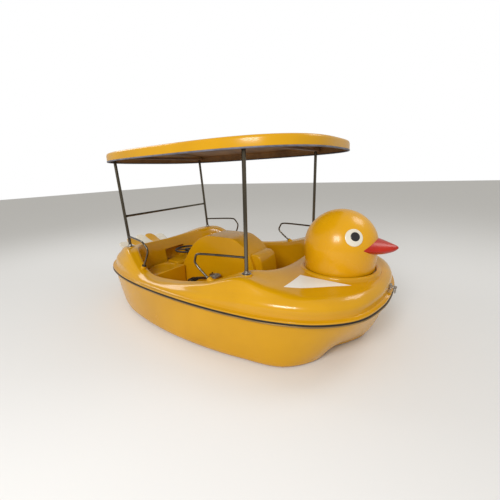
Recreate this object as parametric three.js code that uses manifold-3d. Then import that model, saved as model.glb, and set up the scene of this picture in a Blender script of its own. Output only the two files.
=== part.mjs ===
// A four-seat fibreglass pedal boat in the shape of a duck, in millimetres.
// +X points to the bow, +Y to port, +Z up. Both sides are the same, mirrored in y = 0.
import * as THREE from 'three';
import { mergeVertices } from 'three/addons/utils/BufferGeometryUtils.js';
import Module from 'manifold-3d';

// ---- Fits and walls ---------------------------------------------------------------------
const GAP = 0.3; // between two pieces that rest on each other
const LAMINATE = 6; // wall of every fibreglass moulding
const RUNNING = 0.5; // radial play of a turning shaft

// ---- Hull and deck ----------------------------------------------------------------------
const HALF_BEAM = 995; // gunwale, widest
const BOW_X = 1550; // gunwale on the centreline
const STERN_X = -1700;
const HULL_TOP_Z = 455; // top of the hull flange
const FLANGE = 8; // thickness of the hull flange
const FLANGE_WIDTH = 22;
const KEEL_STRIP = 6; // thickness of the wear strips that the boat stands on
const GASKET = 9; // black joint between hull and deck
const DECK_EDGE = 12; // height of the deck's turned-down edge
const COCKPIT_FLOOR_Z = 200;
const SOLE = 12; // thickness of the floor panel
const ENTRY_Z = 530; // coaming amidships, where people step in
const FRONT_HUMP_Z = 690; // deck under the front posts
const REAR_HUMP_Z = 705; // deck under the rear posts
const CHEST_Z = 612; // deck round the neck
const NICHE = { half: 165, bottom: 388, top: 556, aft: -1262 }; // locker in the aft cockpit wall
const NICHE_MOUTH_X = -1000; // where the recess is cut through the aft wall
const NICHE_LINING_X = [-1121, -1152]; // fore ends of its lining, at the bottom and the top

// ---- Paddle wheel, its tunnel and cover -------------------------------------------------
const SHAFT_X = -300;
const SHAFT_Z = 370;
const SHAFT_R = 12.5;
const PADDLE_R = 310;
const PADDLE_WIDTH = 240;
const PADDLE_BLADES = 8;
const TUNNEL_HALF = 150;
const TUNNEL_ROOF_Z = 360;
const TUNNEL_FRONT_X = SHAFT_X + PADDLE_R + 80; // 80 mm of water ahead of the wheel
const WELL_AFT_X = SHAFT_X - PADDLE_R - 50; // and 50 mm behind it
const COVER_TOP_Z = 817;
const COVER_HALF_FOOT = 205;
const COVER_HALF_TOP = 175;
const CONSOLE_HALF = 150;
const CONSOLE_TOP_Z = 664;
const CONSOLE_FRONT_X = 362;

// ---- Pedals -----------------------------------------------------------------------------
const CRANK_THROW = 125;
const CRANK_REST_DEG = 12; // inner starboard pedal above level, ahead of the shaft
const PORT_PHASE_DEG = 90; // port cranks run a quarter turn behind
const CRANK_PIN_R = 8;
const WEB_THICK = 12;
const WEB_WIDTH = 30;
const PEDAL_LENGTH = 92;
const PEDAL_WIDTH = 84;
const PEDAL_THICK = 24;
const INNER_WEB_Y = 232; // centre of the web beside the cover

// ---- Steering ---------------------------------------------------------------------------
const HELM_X = -895;
const HELM_Z = 550;
const HELM_R = 150;
const HELM_RIM_R = 12;
const COLUMN_R = 13;
const REAR_CONSOLE_Z = 430;
const DRUM_R = 34; // helm drum
const STEER_REDUCTION = 2; // turns of the wheel to one of the rudder
const DRUM_THICK = 22;
const DRUM_Z = 318; // mid height of both drums
const CABLE_R = 2;
const CABLE_PLAY = 2.2; // between the cable and the bottom of a drum's groove
const QUADRANT_R = STEER_REDUCTION * (DRUM_R + CABLE_R + CABLE_PLAY) - CABLE_R - CABLE_PLAY;
const RUDDER_X = -1430;
const STOCK_R = 11;
const BLADE_TOP_Z = 285;
const BLADE_BOTTOM_Z = 70;
const BLADE_FORE = 60;
const BLADE_AFT = 130;
const BLADE_THICK = 10;

// ---- Duck -------------------------------------------------------------------------------
const NECK_X = 1097;
const NECK_R = 300;
const COLLAR_R = 334;
const COLLAR_TOP_Z = 640;
const HEAD_R = 317;
const HEAD_Z = 838; // widest level of the head
const HEAD_TOP_Z = 1156;
const BEAK_TIP_X = 1561;
const EYE_R = 71;
const PUPIL_R = 37;
const TAIL_FEATHERS = 5;
const TAIL_TIP_X = -1960; // aft end of the middle feather
const TAIL_ROOT_X = -1560;
const TAIL_ROOT_Z = 560;
const TAIL_TIP_Z = 634;
const FEATHER_PITCH = 128; // across the boat, at the tips
const FEATHER_HALF = 78;
const FEATHER_THICK = 42;

// ---- Canopy, posts and rails ------------------------------------------------------------
const CANOPY_HALF_LENGTH = 1280;
const CANOPY_HALF_WIDTH = 860;
const CANOPY_MID_X = -220;
const CANOPY_EDGE_Z = 1664; // lower edge of the roof moulding
const CANOPY_FASCIA = 74;
const CANOPY_CROWN = 44;
const CANOPY_TRIM = 12;
const POST_R = 16;
const POST_FRONT = { foot: [560, 713], top: [573, 699] };
const POST_REAR = { foot: [-1125, 657], top: [-1177, 651] };
const POST_TOP_Z = 1690;
const POST_PAD_R = 46;
const BASE_R = 40;
const BASE_SOCKET = 26;
const CROSSBAR_R = 12.5;
const CROSSBAR_Z = 1067;
const RAIL_R = 10;
const RAIL_POST_Z = 836;
const RAIL_PAD_R = 24;

// ---- Mooring ring -----------------------------------------------------------------------
const RING_R = 26;
const RING_WIRE_R = 4;
const EYE_HOLE_X = 1572;
const EYE_HOLE_Z = 522;
const EYE_NOSE_R = 11;

// ---- Smoothness of the faceted solids ---------------------------------------------------
const AROUND = 2; // steps between two hull stations
const ROUND = 12; // sides of a shaft or tube
const HEAD_SIDES = 26;
const DOME_STEPS = 8; // from the widest level of the head to its crown

const FRP_YELLOW = 0xe8a412;
const GLOSS = { roughness: 0.22, metalness: 0 };
const STEEL = { roughness: 0.25, metalness: 1 };

const wasm = await Module();
wasm.setup();

// ---- Solids -----------------------------------------------------------------------------

/** A closed three.js geometry as a manifold solid. */
function solid(geometry) {
  const bare = geometry.clone();
  bare.deleteAttribute('normal');
  bare.deleteAttribute('uv');
  const merged = mergeVertices(bare, 1e-3);
  return new wasm.Manifold(new wasm.Mesh({
    numProp: 3,
    vertProperties: new Float32Array(merged.attributes.position.array),
    triVerts: new Uint32Array(merged.index.array),
  }));
}

/** A manifold solid as a three.js geometry. */
function geometryOf(made) {
  const mesh = made.getMesh();
  const geometry = new THREE.BufferGeometry();
  geometry.setAttribute('position', new THREE.BufferAttribute(mesh.vertProperties, 3));
  geometry.setIndex(new THREE.BufferAttribute(mesh.triVerts, 1));
  return geometry;
}

/** The biggest body of a solid, for a piece trimmed by the moulding that it stands on. */
function largest(made) {
  return made.decompose().sort((a, b) => b.volume() - a.volume())[0];
}

const join = (...parts) => parts.reduce((all, one) => all.add(one));
const cut = (body, ...tools) => tools.reduce((left, tool) => left.subtract(tool), body);

/** A box between two corners. */
function box(low, high) {
  const size = high.map((value, i) => value - low[i]);
  const geometry = new THREE.BoxGeometry(...size);
  geometry.translate(...low.map((value, i) => value + size[i] / 2));
  return solid(geometry);
}

/** A cylinder between two points. */
function rod(from, to, radius, sides = ROUND) {
  const a = new THREE.Vector3(...from);
  const b = new THREE.Vector3(...to);
  const geometry = new THREE.CylinderGeometry(radius, radius, a.distanceTo(b), sides);
  const up = new THREE.Vector3(0, 1, 0);
  const turn = new THREE.Quaternion().setFromUnitVectors(up, b.clone().sub(a).normalize());
  geometry.applyQuaternion(turn);
  geometry.translate(...a.add(b).multiplyScalar(0.5).toArray());
  return solid(geometry);
}

/** A ring with a round section, lying in the plane square to Z. */
function hoop(radius, wire, steps, sides) {
  return solid(new THREE.TorusGeometry(radius, wire, sides, steps));
}

/** A turned piece: its profile is a list of [radius, height] that starts and ends on Z. */
function turned(profile, sides) {
  const geometry = new THREE.LatheGeometry(profile.map(([r, z]) => new THREE.Vector2(r, z)), sides);
  geometry.rotateX(Math.PI / 2);
  return solid(geometry);
}

/** A turned piece set down on a point, its own Z along the line to a second point. */
function turnedAlong(profile, sides, from, to) {
  const a = new THREE.Vector3(...from);
  const along = new THREE.Vector3(...to).sub(a).normalize();
  const turn = new THREE.Quaternion().setFromUnitVectors(new THREE.Vector3(0, 0, 1), along);
  const pose = new THREE.Matrix4().compose(a, turn, new THREE.Vector3(1, 1, 1));
  return turned(profile, sides).transform(pose.elements);
}

/** A flat outline of [x, y] pairs, raised from one level to another. */
function raised(outline, bottom, top) {
  const shape = new THREE.Shape(outline.map(([x, y]) => new THREE.Vector2(x, y)));
  const geometry = new THREE.ExtrudeGeometry(shape, { depth: top - bottom, bevelEnabled: false });
  geometry.translate(0, 0, bottom);
  return solid(geometry);
}

/** A side profile of [x, z] pairs as wide as 2 * half, its edges rounded by round. */
function sideways(profile, half, round = 0) {
  const shape = new THREE.Shape(profile.map(([x, z]) => new THREE.Vector2(x, z)));
  const geometry = new THREE.ExtrudeGeometry(shape, {
    depth: 2 * (half - round),
    bevelEnabled: round > 0,
    bevelThickness: round,
    bevelSize: round,
    bevelOffset: -round,
    bevelSegments: 2,
  });
  geometry.rotateX(Math.PI / 2);
  geometry.translate(0, half - round, 0);
  return solid(geometry);
}

/** A tube along a curve. */
function tube(path, radius, steps, sides) {
  const section = new THREE.Shape();
  section.absarc(0, 0, radius, 0, 2 * Math.PI);
  return solid(new THREE.ExtrudeGeometry(section, {
    steps, extrudePath: path, curveSegments: sides / 2, bevelEnabled: false,
  }));
}

// ---- Rings: closed loops of points round the boat ---------------------------------------

/** Mirrors a half outline, given from bow to stern, into a closed loop of sampled points. */
function ring(half) {
  const points = half.map(([x, y, z]) => new THREE.Vector3(x, y, z));
  const mirrored = points.slice(1, -1).reverse().map((p) => new THREE.Vector3(p.x, -p.y, p.z));
  const curve = new THREE.CatmullRomCurve3([...points, ...mirrored], true, 'centripetal');
  const count = (points.length + mirrored.length) * AROUND;
  return Array.from({ length: count }, (_, i) => curve.getPoint(i / count));
}

/** The ring moved inwards in plan, and to a level of its own where one is given. */
function inset(loop, distance, level) {
  return loop.map((p, i) => {
    const next = loop[(i + 1) % loop.length];
    const last = loop[(i + loop.length - 1) % loop.length];
    const along = new THREE.Vector2(next.x - last.x, next.y - last.y).normalize();
    return new THREE.Vector3(p.x - along.y * distance, p.y + along.x * distance, level ?? p.z);
  });
}

const blend = (from, to, share) => from.map((p, i) => p.clone().lerp(to[i], share));
const plan = (loop) => loop.map((p) => [p.x, p.y]);

/** Triangles between neighbouring rings of equal length. */
function skin(rows, wrapRows) {
  const around = rows[0].length;
  const faces = [];
  const last = wrapRows ? rows.length : rows.length - 1;
  for (let j = 0; j < last; j += 1) {
    const a = j * around;
    const b = ((j + 1) % rows.length) * around;
    for (let i = 0; i < around; i += 1) {
      const k = (i + 1) % around;
      faces.push(a + i, a + k, b + k, a + i, b + k, b + i);
    }
  }
  return faces;
}

/** A geometry from points and triangle corners, as a solid that faces out. */
function bodyOf(points, faces) {
  const geometry = new THREE.BufferGeometry().setFromPoints(points);
  geometry.setIndex(faces);
  const made = solid(geometry);
  if (made.volume() > 0) return made;
  for (let i = 0; i < faces.length; i += 3) [faces[i + 1], faces[i + 2]] = [faces[i + 2], faces[i + 1]];
  geometry.setIndex(faces);
  return solid(geometry);
}

/** Level rings stacked into a solid with a flat end at the first and the last. */
function stack(rows) {
  const around = rows[0].length;
  const faces = skin(rows, false);
  const flat = rows[0].map((p) => new THREE.Vector2(p.x, p.y));
  const top = (rows.length - 1) * around;
  const topFlat = rows[rows.length - 1].map((p) => new THREE.Vector2(p.x, p.y));
  for (const [a, b, c] of THREE.ShapeUtils.triangulateShape(flat, [])) faces.push(a, c, b);
  for (const [a, b, c] of THREE.ShapeUtils.triangulateShape(topFlat, [])) {
    faces.push(top + a, top + b, top + c);
  }
  return bodyOf(rows.flat(), faces);
}

/** A laminate of even thickness behind a skin of rings. */
function laminate(rows, thickness) {
  const around = rows[0].length;
  const behind = rows.map((row, j) => row.map((p, i) => {
    const over = rows[Math.min(j + 1, rows.length - 1)][i].clone();
    over.sub(rows[Math.max(j - 1, 0)][i]);
    const along = row[(i + 1) % around].clone().sub(row[(i + around - 1) % around]);
    return p.clone().addScaledVector(along.cross(over).normalize(), -thickness);
  }));
  const loop = [...rows, ...behind.reverse()];
  return bodyOf(loop.flat(), skin(loop, true));
}

// ---- Lines of the boat: stations from bow to stern --------------------------------------

/** One station of the deck: gunwale, shoulder, crown, lip and foot of the cockpit wall. */
const station = (gunwale, shoulder, crown, lip, foot, bulge) => (
  { gunwale, shoulder, crown, lip, foot, bulge });

const STATIONS = [
  station([BOW_X, 0], [1525, 0, 556], [1425, 0, CHEST_Z], [690, 0, 638], [640, 0], 26),
  station([1524, 300], [1498, 290, 556], [1400, 250, CHEST_Z], [688, 90, 638], [638, 85], 26),
  station([1420, 590], [1392, 570, 556], [1300, 480, CHEST_Z], [680, 200, 640], [628, 185], 26),
  station([1200, 795], [1174, 770, 556], [1085, 680, CHEST_Z], [655, 330, 646], [600, 300], 24),
  station([900, 915], [884, 880, 556], [830, 795, 640], [600, 470, 662], [545, 420], 10),
  station([560, 972], [558, 925, 556], [556, 836, FRONT_HUMP_Z], [500, 605, FRONT_HUMP_Z],
    [450, 550], -6),
  station([220, HALF_BEAM], [222, 950, 520], [226, 872, 600], [228, 745, 600], [215, 690], 0),
  station([-215, HALF_BEAM], [-215, 948, 500], [-215, 882, ENTRY_Z - 4], [-215, 792, ENTRY_Z],
    [-215, 745], 3),
  station([-650, 962], [-650, 916, 502], [-650, 862, ENTRY_Z], [-650, 768, ENTRY_Z + 4],
    [-640, 722], 3),
  station([-1060, 886], [-1046, 835, 566], [-1020, 770, REAR_HUMP_Z],
    [-955, 668, REAR_HUMP_Z - 4], [-900, 630], -4),
  station([-1420, 742], [-1385, 700, 566], [-1265, 640, REAR_HUMP_Z - 10],
    [-1110, 530, REAR_HUMP_Z], [-1035, 500], 8),
  station([-1640, 520], [-1590, 488, 540], [-1420, 400, 630], [-1160, 290, 690], [-1085, 270], 8),
  station([STERN_X, 0], [-1645, 0, 535], [-1470, 0, 606], [-1170, 0, 680], [-1092, 0], 8),
];

/** The outline of the pontoons and the middle lobe of the bow, where they meet the ground. */
const BOTTOM = [
  [1375, 0], [1290, 205], [1192, 352], [1128, 600], [935, 812], [580, 897], [220, 940],
  [-215, 948], [-650, 908], [-1060, 820], [-1335, 692], [-1490, 500], [-1540, 0],
];

const GUNWALE = ring(STATIONS.map(({ gunwale: [x, y] }) => [x, y, 0]));
const BILGE = ring(BOTTOM.map(([x, y]) => [x, y, 0]));
const FOOT = ring(STATIONS.map(({ foot: [x, y] }) => [x, y, 0]));
const at = (loop, level) => loop.map((p) => new THREE.Vector3(p.x, p.y, level));

const HULL_BOTTOM_Z = KEEL_STRIP + GAP;
const HULL_SIDE_TOP_Z = HULL_TOP_Z - FLANGE;
const DECK_EDGE_Z = HULL_TOP_Z + GASKET + 2 * GAP;

/** The paddle tunnel, open at the stern, with the well above the wheel; grown by a margin. */
function tunnel(grow, wellTop) {
  const half = TUNNEL_HALF + grow;
  const front = TUNNEL_FRONT_X + grow;
  const low = box([STERN_X - 60, -half, -20], [front, half, TUNNEL_ROOF_Z + grow]);
  return low.add(box([WELL_AFT_X - grow, -half, -20], [front, half, wellTop]));
}

/** The hull's level rings from the flange down, drawn in by a margin. */
function hullRings(margin) {
  const share = [[0, 0], [0.22, 0.3], [0.5, 0.62], [0.8, 0.88], [1, 1]];
  const side = inset(GUNWALE, FLANGE_WIDTH);
  const drop = HULL_SIDE_TOP_Z - HULL_BOTTOM_Z - 36;
  const rows = share.map(([across, down]) => inset(
    blend(side, BILGE, across), margin, HULL_SIDE_TOP_Z - drop * down));
  rows.push(inset(BILGE, margin + 14, HULL_BOTTOM_Z + 9 + margin * 0.7));
  rows.push(inset(BILGE, margin + 44, HULL_BOTTOM_Z + margin));
  return rows;
}

function hullShell() {
  const flange = [inset(GUNWALE, 0, HULL_TOP_Z), inset(GUNWALE, 0, HULL_SIDE_TOP_Z)];
  const outer = stack([...flange, ...hullRings(0).map((row, i) => (
    i === 0 ? at(row, HULL_SIDE_TOP_Z - 1) : row))]);
  const mouth = inset(GUNWALE, FLANGE_WIDTH + LAMINATE, HULL_TOP_Z + 20);
  const inner = stack([mouth, ...hullRings(LAMINATE)]);
  const walls = tunnel(LAMINATE, HULL_TOP_Z + 40);
  const shell = cut(outer, cut(inner, walls), tunnel(0, HULL_TOP_Z + 40));
  const bores = [
    rod([SHAFT_X, -400, SHAFT_Z], [SHAFT_X, 400, SHAFT_Z], SHAFT_R + 3),
    rod([HELM_X, 0, 300], [HELM_X, 0, 500], COLUMN_R + 4),
    rod([RUDDER_X, 0, 300], [RUDDER_X, 0, 500], STOCK_R + 4),
  ];
  return cut(shell, ...bores);
}

/** Rings of the deck's upper skin, from the gunwale edge over the coaming to the floor. */
function deckRings() {
  const edge = inset(GUNWALE, 0, DECK_EDGE_Z);
  const shoulder = ring(STATIONS.map((s) => s.shoulder));
  const crown = ring(STATIONS.map((s) => s.crown));
  const lip = ring(STATIONS.map((s) => s.lip));
  const haunch = ring(STATIONS.map((s) => s.shoulder.map((value, i) => (
    value + (s.crown[i] - value) * 0.45 + (i === 2 ? s.bulge : 0)))));
  const wallTop = lip.map((p) => new THREE.Vector3(p.x, p.y, p.z - 14));
  const foot = at(FOOT, COCKPIT_FLOOR_Z + 8);
  const ledge = COCKPIT_FLOOR_Z - SOLE - GAP;
  return [
    edge,
    inset(GUNWALE, 0, DECK_EDGE_Z + DECK_EDGE),
    inset(GUNWALE, 30, DECK_EDGE_Z + DECK_EDGE + 4),
    shoulder,
    haunch,
    crown,
    blend(crown, lip, 0.5),
    inset(lip, -22),
    wallTop,
    blend(wallTop, foot, 0.5),
    foot,
    inset(FOOT, 2, ledge),
    inset(FOOT, 55, ledge),
  ];
}

// ---- Posts ------------------------------------------------------------------------------

const SIDES = [['port', 1], ['starboard', -1]];
const ENDS = [['front', POST_FRONT, FRONT_HUMP_Z + 8], ['rear', POST_REAR, REAR_HUMP_Z + 12]];

/** A point on a post's axis at a level, and the post's direction. */
function postPoint(post, side, padZ, level) {
  const share = (level - padZ) / (POST_TOP_Z - padZ);
  const [fx, fy] = post.foot;
  const [tx, ty] = post.top;
  return [fx + (tx - fx) * share, side * (fy + (ty - fy) * share), level];
}

function postRod(post, side, padZ, from, to, radius) {
  return rod(postPoint(post, side, padZ, from), postPoint(post, side, padZ, to), radius);
}

/** The route of a handrail from its post down to its foot, for the starboard or port side. */
const RAILS = {
  front: { bend: [122, 790, 834], knee: [34, 784, 735], foot: [192, 782, 616] },
  rear: { bend: [-735, 772, 850], knee: [-612, 778, 762], foot: [-704, 794, 592] },
};

function railPath(end, post, side, padZ) {
  const { bend, knee, foot } = RAILS[end];
  const start = postPoint(post, side, padZ, RAIL_POST_Z);
  const mirror = ([x, y, z]) => new THREE.Vector3(x, side * y, z);
  const [b, k, f] = [bend, knee, foot].map(mirror);
  const begin = new THREE.Vector3(...start);
  const path = new THREE.CurvePath();
  const shortOf = (p, q, d) => p.clone().addScaledVector(q.clone().sub(p).normalize(), d);
  const bendOut = b.clone().lerp(k, 0.62);
  const corner = shortOf(b, begin, -58);
  path.add(new THREE.LineCurve3(begin, b));
  path.add(new THREE.QuadraticBezierCurve3(b, corner, bendOut));
  path.add(new THREE.QuadraticBezierCurve3(bendOut, shortOf(f, k, f.distanceTo(k) + 26),
    shortOf(f, k, f.distanceTo(k) * 0.62)));
  path.add(new THREE.LineCurve3(shortOf(f, k, f.distanceTo(k) * 0.62), f));
  return path;
}

/** The last straight of a rail: a point at a distance above its foot, along the tube. */
function aboveFoot(end, side, distance) {
  const { knee, foot } = RAILS[end];
  const f = new THREE.Vector3(foot[0], side * foot[1], foot[2]);
  const k = new THREE.Vector3(knee[0], side * knee[1], knee[2]);
  return f.addScaledVector(k.sub(f).normalize(), distance).toArray();
}

function deckShell() {
  const moulding = laminate(deckRings(), LAMINATE);
  const collar = cut(
    rod([NECK_X, 0, CHEST_Z - 22], [NECK_X, 0, COLLAR_TOP_Z], COLLAR_R, HEAD_SIDES),
    rod([NECK_X, 0, CHEST_Z - 40], [NECK_X, 0, COLLAR_TOP_Z + 9], NECK_R - 30, HEAD_SIDES),
  );
  const pads = SIDES.flatMap(([, side]) => ENDS.flatMap(([end, post, padZ]) => [
    postRod(post, side, padZ, padZ - 40, padZ, POST_PAD_R),
    rod(aboveFoot(end, side, -70), aboveFoot(end, side, -5), RAIL_PAD_R),
  ]));
  const [lining, niche] = [0, LAMINATE].map((wall) => nicheForm(wall));
  return cut(join(moulding, lining, collar, ...pads), niche, tunnel(LAMINATE + 2, HULL_TOP_Z + 2));
}

/** The locker's form: its room grown by the laminate, or, with a wall given, the room alone. */
function nicheForm(wall) {
  const { half, bottom, top, aft } = NICHE;
  const grow = LAMINATE - wall;
  const [foreLow, foreHigh] = wall ? [NICHE_MOUTH_X, NICHE_MOUTH_X] : NICHE_LINING_X;
  return sideways([
    [aft - grow, bottom - grow], [foreLow, bottom - grow], [foreHigh, top + grow],
    [aft - grow, top + grow],
  ], half + grow);
}

/** The floor panel: it lies on the ledge of the cockpit wall and stops short of the tunnel. */
function cockpitSole() {
  const panel = raised(plan(inset(FOOT, 4)), COCKPIT_FLOOR_Z - SOLE, COCKPIT_FLOOR_Z);
  return largest(cut(panel, tunnel(LAMINATE + 2, HULL_TOP_Z)));
}

/** A band round the gunwale between two insets and two levels. */
function gunwaleBand(outside, inside, bottom, top) {
  return cut(
    raised(plan(inset(GUNWALE, outside)), bottom, top),
    raised(plan(inset(GUNWALE, inside)), bottom - 1, top + 1),
  );
}

const gunwaleGasket = () => gunwaleBand(3, 17, HULL_TOP_Z + GAP, HULL_TOP_Z + GAP + GASKET);
const rubStrip = () => gunwaleBand(-4, -GAP, HULL_SIDE_TOP_Z - 5, HULL_TOP_Z + 1);

// ---- Paddle housing and consoles --------------------------------------------------------

/** Moves each point of a closed profile inwards by a wall. */
function thinned(profile, wall) {
  return profile.map(([x, z], i) => {
    const [nx, nz] = profile[(i + 1) % profile.length];
    const [lx, lz] = profile[(i + profile.length - 1) % profile.length];
    const length = Math.hypot(nx - lx, nz - lz);
    return [x - ((nz - lz) / length) * wall, z + ((nx - lx) / length) * wall];
  });
}

/** Leans the sides of a housing inwards, from its foot to its top. */
function drafted(made, footZ, footHalf, topZ, topHalf) {
  return made.warp((p) => {
    const share = (p[2] - footZ) / (topZ - footZ);
    p[1] *= 1 + (topHalf / footHalf - 1) * share;
  });
}

/** The side profile of the cover over the wheel, anticlockwise from its aft foot. */
function coverProfile() {
  const curve = new THREE.CatmullRomCurve3([
    [-852, COCKPIT_FLOOR_Z + GAP], [-832, 320], [-735, 500], [-572, 706], [-400, 804],
    [-260, COVER_TOP_Z], [-100, COVER_TOP_Z], [10, 812], [100, 768], [195, 690], [250, 590],
    [285, 470], [300, COCKPIT_FLOOR_Z + GAP],
  ].map(([x, z]) => new THREE.Vector3(x, 0, z)), false, 'centripetal');
  return curve.getPoints(20).map((p) => [p.x, p.z]).reverse();
}

/** A moulded cover over a side profile, open below, with a wall of laminate. */
function housing(profile, half, round) {
  const foot = Math.min(...profile.map(([, z]) => z));
  const lowered = (outline, original) => outline.map(([x, z], i) => (
    [x, original[i][1] === foot ? foot - 3 * round : z]));
  const shell = sideways(lowered(profile, profile), half, round);
  const hollow = sideways(lowered(thinned(profile, LAMINATE), profile), half - LAMINATE, round / 2);
  const below = box([-3000, -half, foot - 4 * round], [3000, half, foot]);
  return cut(shell, hollow, below);
}

function wheelCover() {
  const cover = housing(coverProfile(), COVER_HALF_FOOT, 16);
  const leaning = drafted(cover, COCKPIT_FLOOR_Z, COVER_HALF_FOOT, COVER_TOP_Z, COVER_HALF_TOP);
  const shaft = rod([SHAFT_X, -400, SHAFT_Z], [SHAFT_X, 400, SHAFT_Z], SHAFT_R + 8);
  return largest(cut(leaning, tunnel(LAMINATE + 2, HULL_TOP_Z + 2), shaft));
}

function frontConsole() {
  const aft = 205;
  const foot = COCKPIT_FLOOR_Z + GAP;
  const profile = [
    [CONSOLE_FRONT_X + 14, foot], [CONSOLE_FRONT_X, 470], [CONSOLE_FRONT_X - 14, 590],
    [CONSOLE_FRONT_X - 34, 640], [CONSOLE_FRONT_X - 70, CONSOLE_TOP_Z],
    [aft, CONSOLE_TOP_Z], [aft, foot],
  ];
  const shell = housing(profile, CONSOLE_HALF, 14);
  const clear = sideways(thinned(coverProfile(), -1.2), COVER_HALF_FOOT);
  return largest(cut(shell, clear));
}

function rearConsole() {
  const fore = -862;
  const aft = -1072;
  const foot = COCKPIT_FLOOR_Z + GAP;
  const profile = [
    [fore, foot], [fore - 4, REAR_CONSOLE_Z - 22], [fore - 26, REAR_CONSOLE_Z],
    [aft + 12, REAR_CONSOLE_Z], [aft, REAR_CONSOLE_Z - 12], [aft, foot],
  ];
  const shell = housing(profile, COVER_HALF_FOOT, 12);
  const column = rod([HELM_X, 0, 380], [HELM_X, 0, 480], COLUMN_R + 6);
  return largest(cut(shell, tunnel(LAMINATE + 2, HULL_TOP_Z), column));
}

// ---- Seats ------------------------------------------------------------------------------

/** A hollow seat moulding with a dished top, trimmed to the plan of the cockpit wall. */
function seat(aft, fore, inner, outer, top, side) {
  const foot = COCKPIT_FLOOR_Z + GAP;
  const low = [aft, Math.min(side * inner, side * outer), foot];
  const high = [fore, Math.max(side * inner, side * outer), top];
  const room = raised(plan(inset(FOOT, 4)), 0, 900);
  const roomInside = raised(plan(inset(FOOT, 4 + LAMINATE)), 0, 900);
  const block = box(low, high).intersect(room);
  const dishDepth = 22;
  const dish = solid(new THREE.SphereGeometry(1, 20, 10).scale(
    (fore - aft) * 0.46, (outer - inner) * 0.42, dishDepth,
  ).translate((aft + fore) / 2, side * (inner + outer) / 2, top));
  const hollow = box(
    [low[0] + LAMINATE, low[1] + LAMINATE, foot - 10],
    [high[0] - LAMINATE, high[1] - LAMINATE, top - dishDepth - LAMINATE],
  ).intersect(roomInside);
  return cut(block, dish, hollow);
}

/** Aft end, fore end, inner side, outer side and top of each seat. */
const REAR_SEAT = [-1066, -735, COVER_HALF_FOOT + 8, 640, 424];
const FRONT_SEAT = [392, 618, 172, 520, 400];

const rearSeat = (side) => seat(...REAR_SEAT, side);
const frontSeat = (side) => seat(...FRONT_SEAT, side);

// ---- Paddle wheel and cranks ------------------------------------------------------------

function paddleWheel() {
  const half = PADDLE_WIDTH / 2;
  const hub = rod([0, -half, 0], [0, half, 0], 38, 20);
  const blades = Array.from({ length: PADDLE_BLADES }, (_, i) => {
    const blade = box([30, -half, -2], [PADDLE_R - 24, half, 2]);
    const tip = box([PADDLE_R - 26, -half, -2], [PADDLE_R, half, 2]);
    const bent = tip.translate(-(PADDLE_R - 26), 0, 0).rotate(0, 22, 0)
      .translate(PADDLE_R - 26, 0, 0);
    return blade.add(bent).rotate(0, (360 / PADDLE_BLADES) * i, 0);
  });
  const hoops = [-1, 1].map((side) => (
    hoop(PADDLE_R * 0.62, 6, 20, 5).rotate(90, 0, 0).translate(0, side * (half - 14), 0)));
  const bore = rod([0, -half - 5, 0], [0, half + 5, 0], SHAFT_R + GAP);
  return cut(join(hub, ...blades, ...hoops), bore).translate(SHAFT_X, 0, SHAFT_Z);
}

const PIN_LENGTH = PEDAL_LENGTH + 2;
const MIDDLE_WEB_Y = INNER_WEB_Y + WEB_THICK + PIN_LENGTH;
const PIN_END_Y = MIDDLE_WEB_Y + WEB_THICK + PIN_LENGTH;

/** A flat crank web between two turned ends. */
function web(y, from, to) {
  const half = WEB_THICK / 2;
  const plate = box([from, y - half, -WEB_WIDTH / 2], [to, y + half, WEB_WIDTH / 2]);
  const ends = [from, to].map((x) => rod([x, y - half, 0], [x, y + half, 0], WEB_WIDTH / 2));
  return join(plate, ...ends);
}

/** The two throws on one side, drawn with the inner pedal ahead of the shaft. */
function throws() {
  const half = WEB_THICK / 2;
  return join(
    web(INNER_WEB_Y, 0, CRANK_THROW),
    rod([CRANK_THROW, INNER_WEB_Y, 0], [CRANK_THROW, MIDDLE_WEB_Y, 0], CRANK_PIN_R, 12),
    web(MIDDLE_WEB_Y, -CRANK_THROW, CRANK_THROW),
    rod([-CRANK_THROW, MIDDLE_WEB_Y, 0], [-CRANK_THROW, PIN_END_Y + half, 0], CRANK_PIN_R, 12),
    rod([-CRANK_THROW, PIN_END_Y - half, 0], [-CRANK_THROW, PIN_END_Y + half, 0], 14, 12),
  );
}

/** Angle of a side's cranks about the shaft, in degrees. */
const crankAngle = (side) => -CRANK_REST_DEG + (side > 0 ? PORT_PHASE_DEG : 0);

function crankshaft() {
  const shaft = rod([0, -INNER_WEB_Y, 0], [0, INNER_WEB_Y, 0], SHAFT_R);
  const port = throws().rotate(0, crankAngle(1), 0);
  const starboard = throws().mirror([0, 1, 0]).rotate(0, crankAngle(-1), 0);
  return join(shaft, port, starboard).translate(SHAFT_X, 0, SHAFT_Z);
}

/** Where a pedal's pin runs: inner pins lead, outer pins trail. */
function pedalCentre(side, inner) {
  const angle = THREE.MathUtils.degToRad(crankAngle(side));
  const reach = inner ? CRANK_THROW : -CRANK_THROW;
  const web1 = inner ? INNER_WEB_Y : MIDDLE_WEB_Y;
  const y = side * (web1 + WEB_THICK / 2 + PIN_LENGTH / 2);
  return [SHAFT_X + reach * Math.cos(angle), y, SHAFT_Z - reach * Math.sin(angle)];
}

function pedal(side, inner) {
  const half = (PIN_LENGTH - 2) / 2 - 1;
  const [w, t] = [PEDAL_WIDTH / 2, PEDAL_THICK / 2];
  const outline = [
    [-w, -t + 5], [-w + 5, -t], [w - 5, -t], [w, -t + 5],
    [w, t - 5], [w - 5, t], [-w + 5, t], [-w, t - 5],
  ];
  const block = sideways(outline, half);
  const windows = [-1, 1].map((way) => (
    box([way * w * 0.56 - 9, -half + 12, -t - 1], [way * w * 0.56 + 9, half - 12, t + 1])));
  const bore = rod([0, -half - 2, 0], [0, half + 2, 0], CRANK_PIN_R + RUNNING, 16);
  return cut(block, ...windows, bore).translate(...pedalCentre(side, inner));
}

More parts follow.
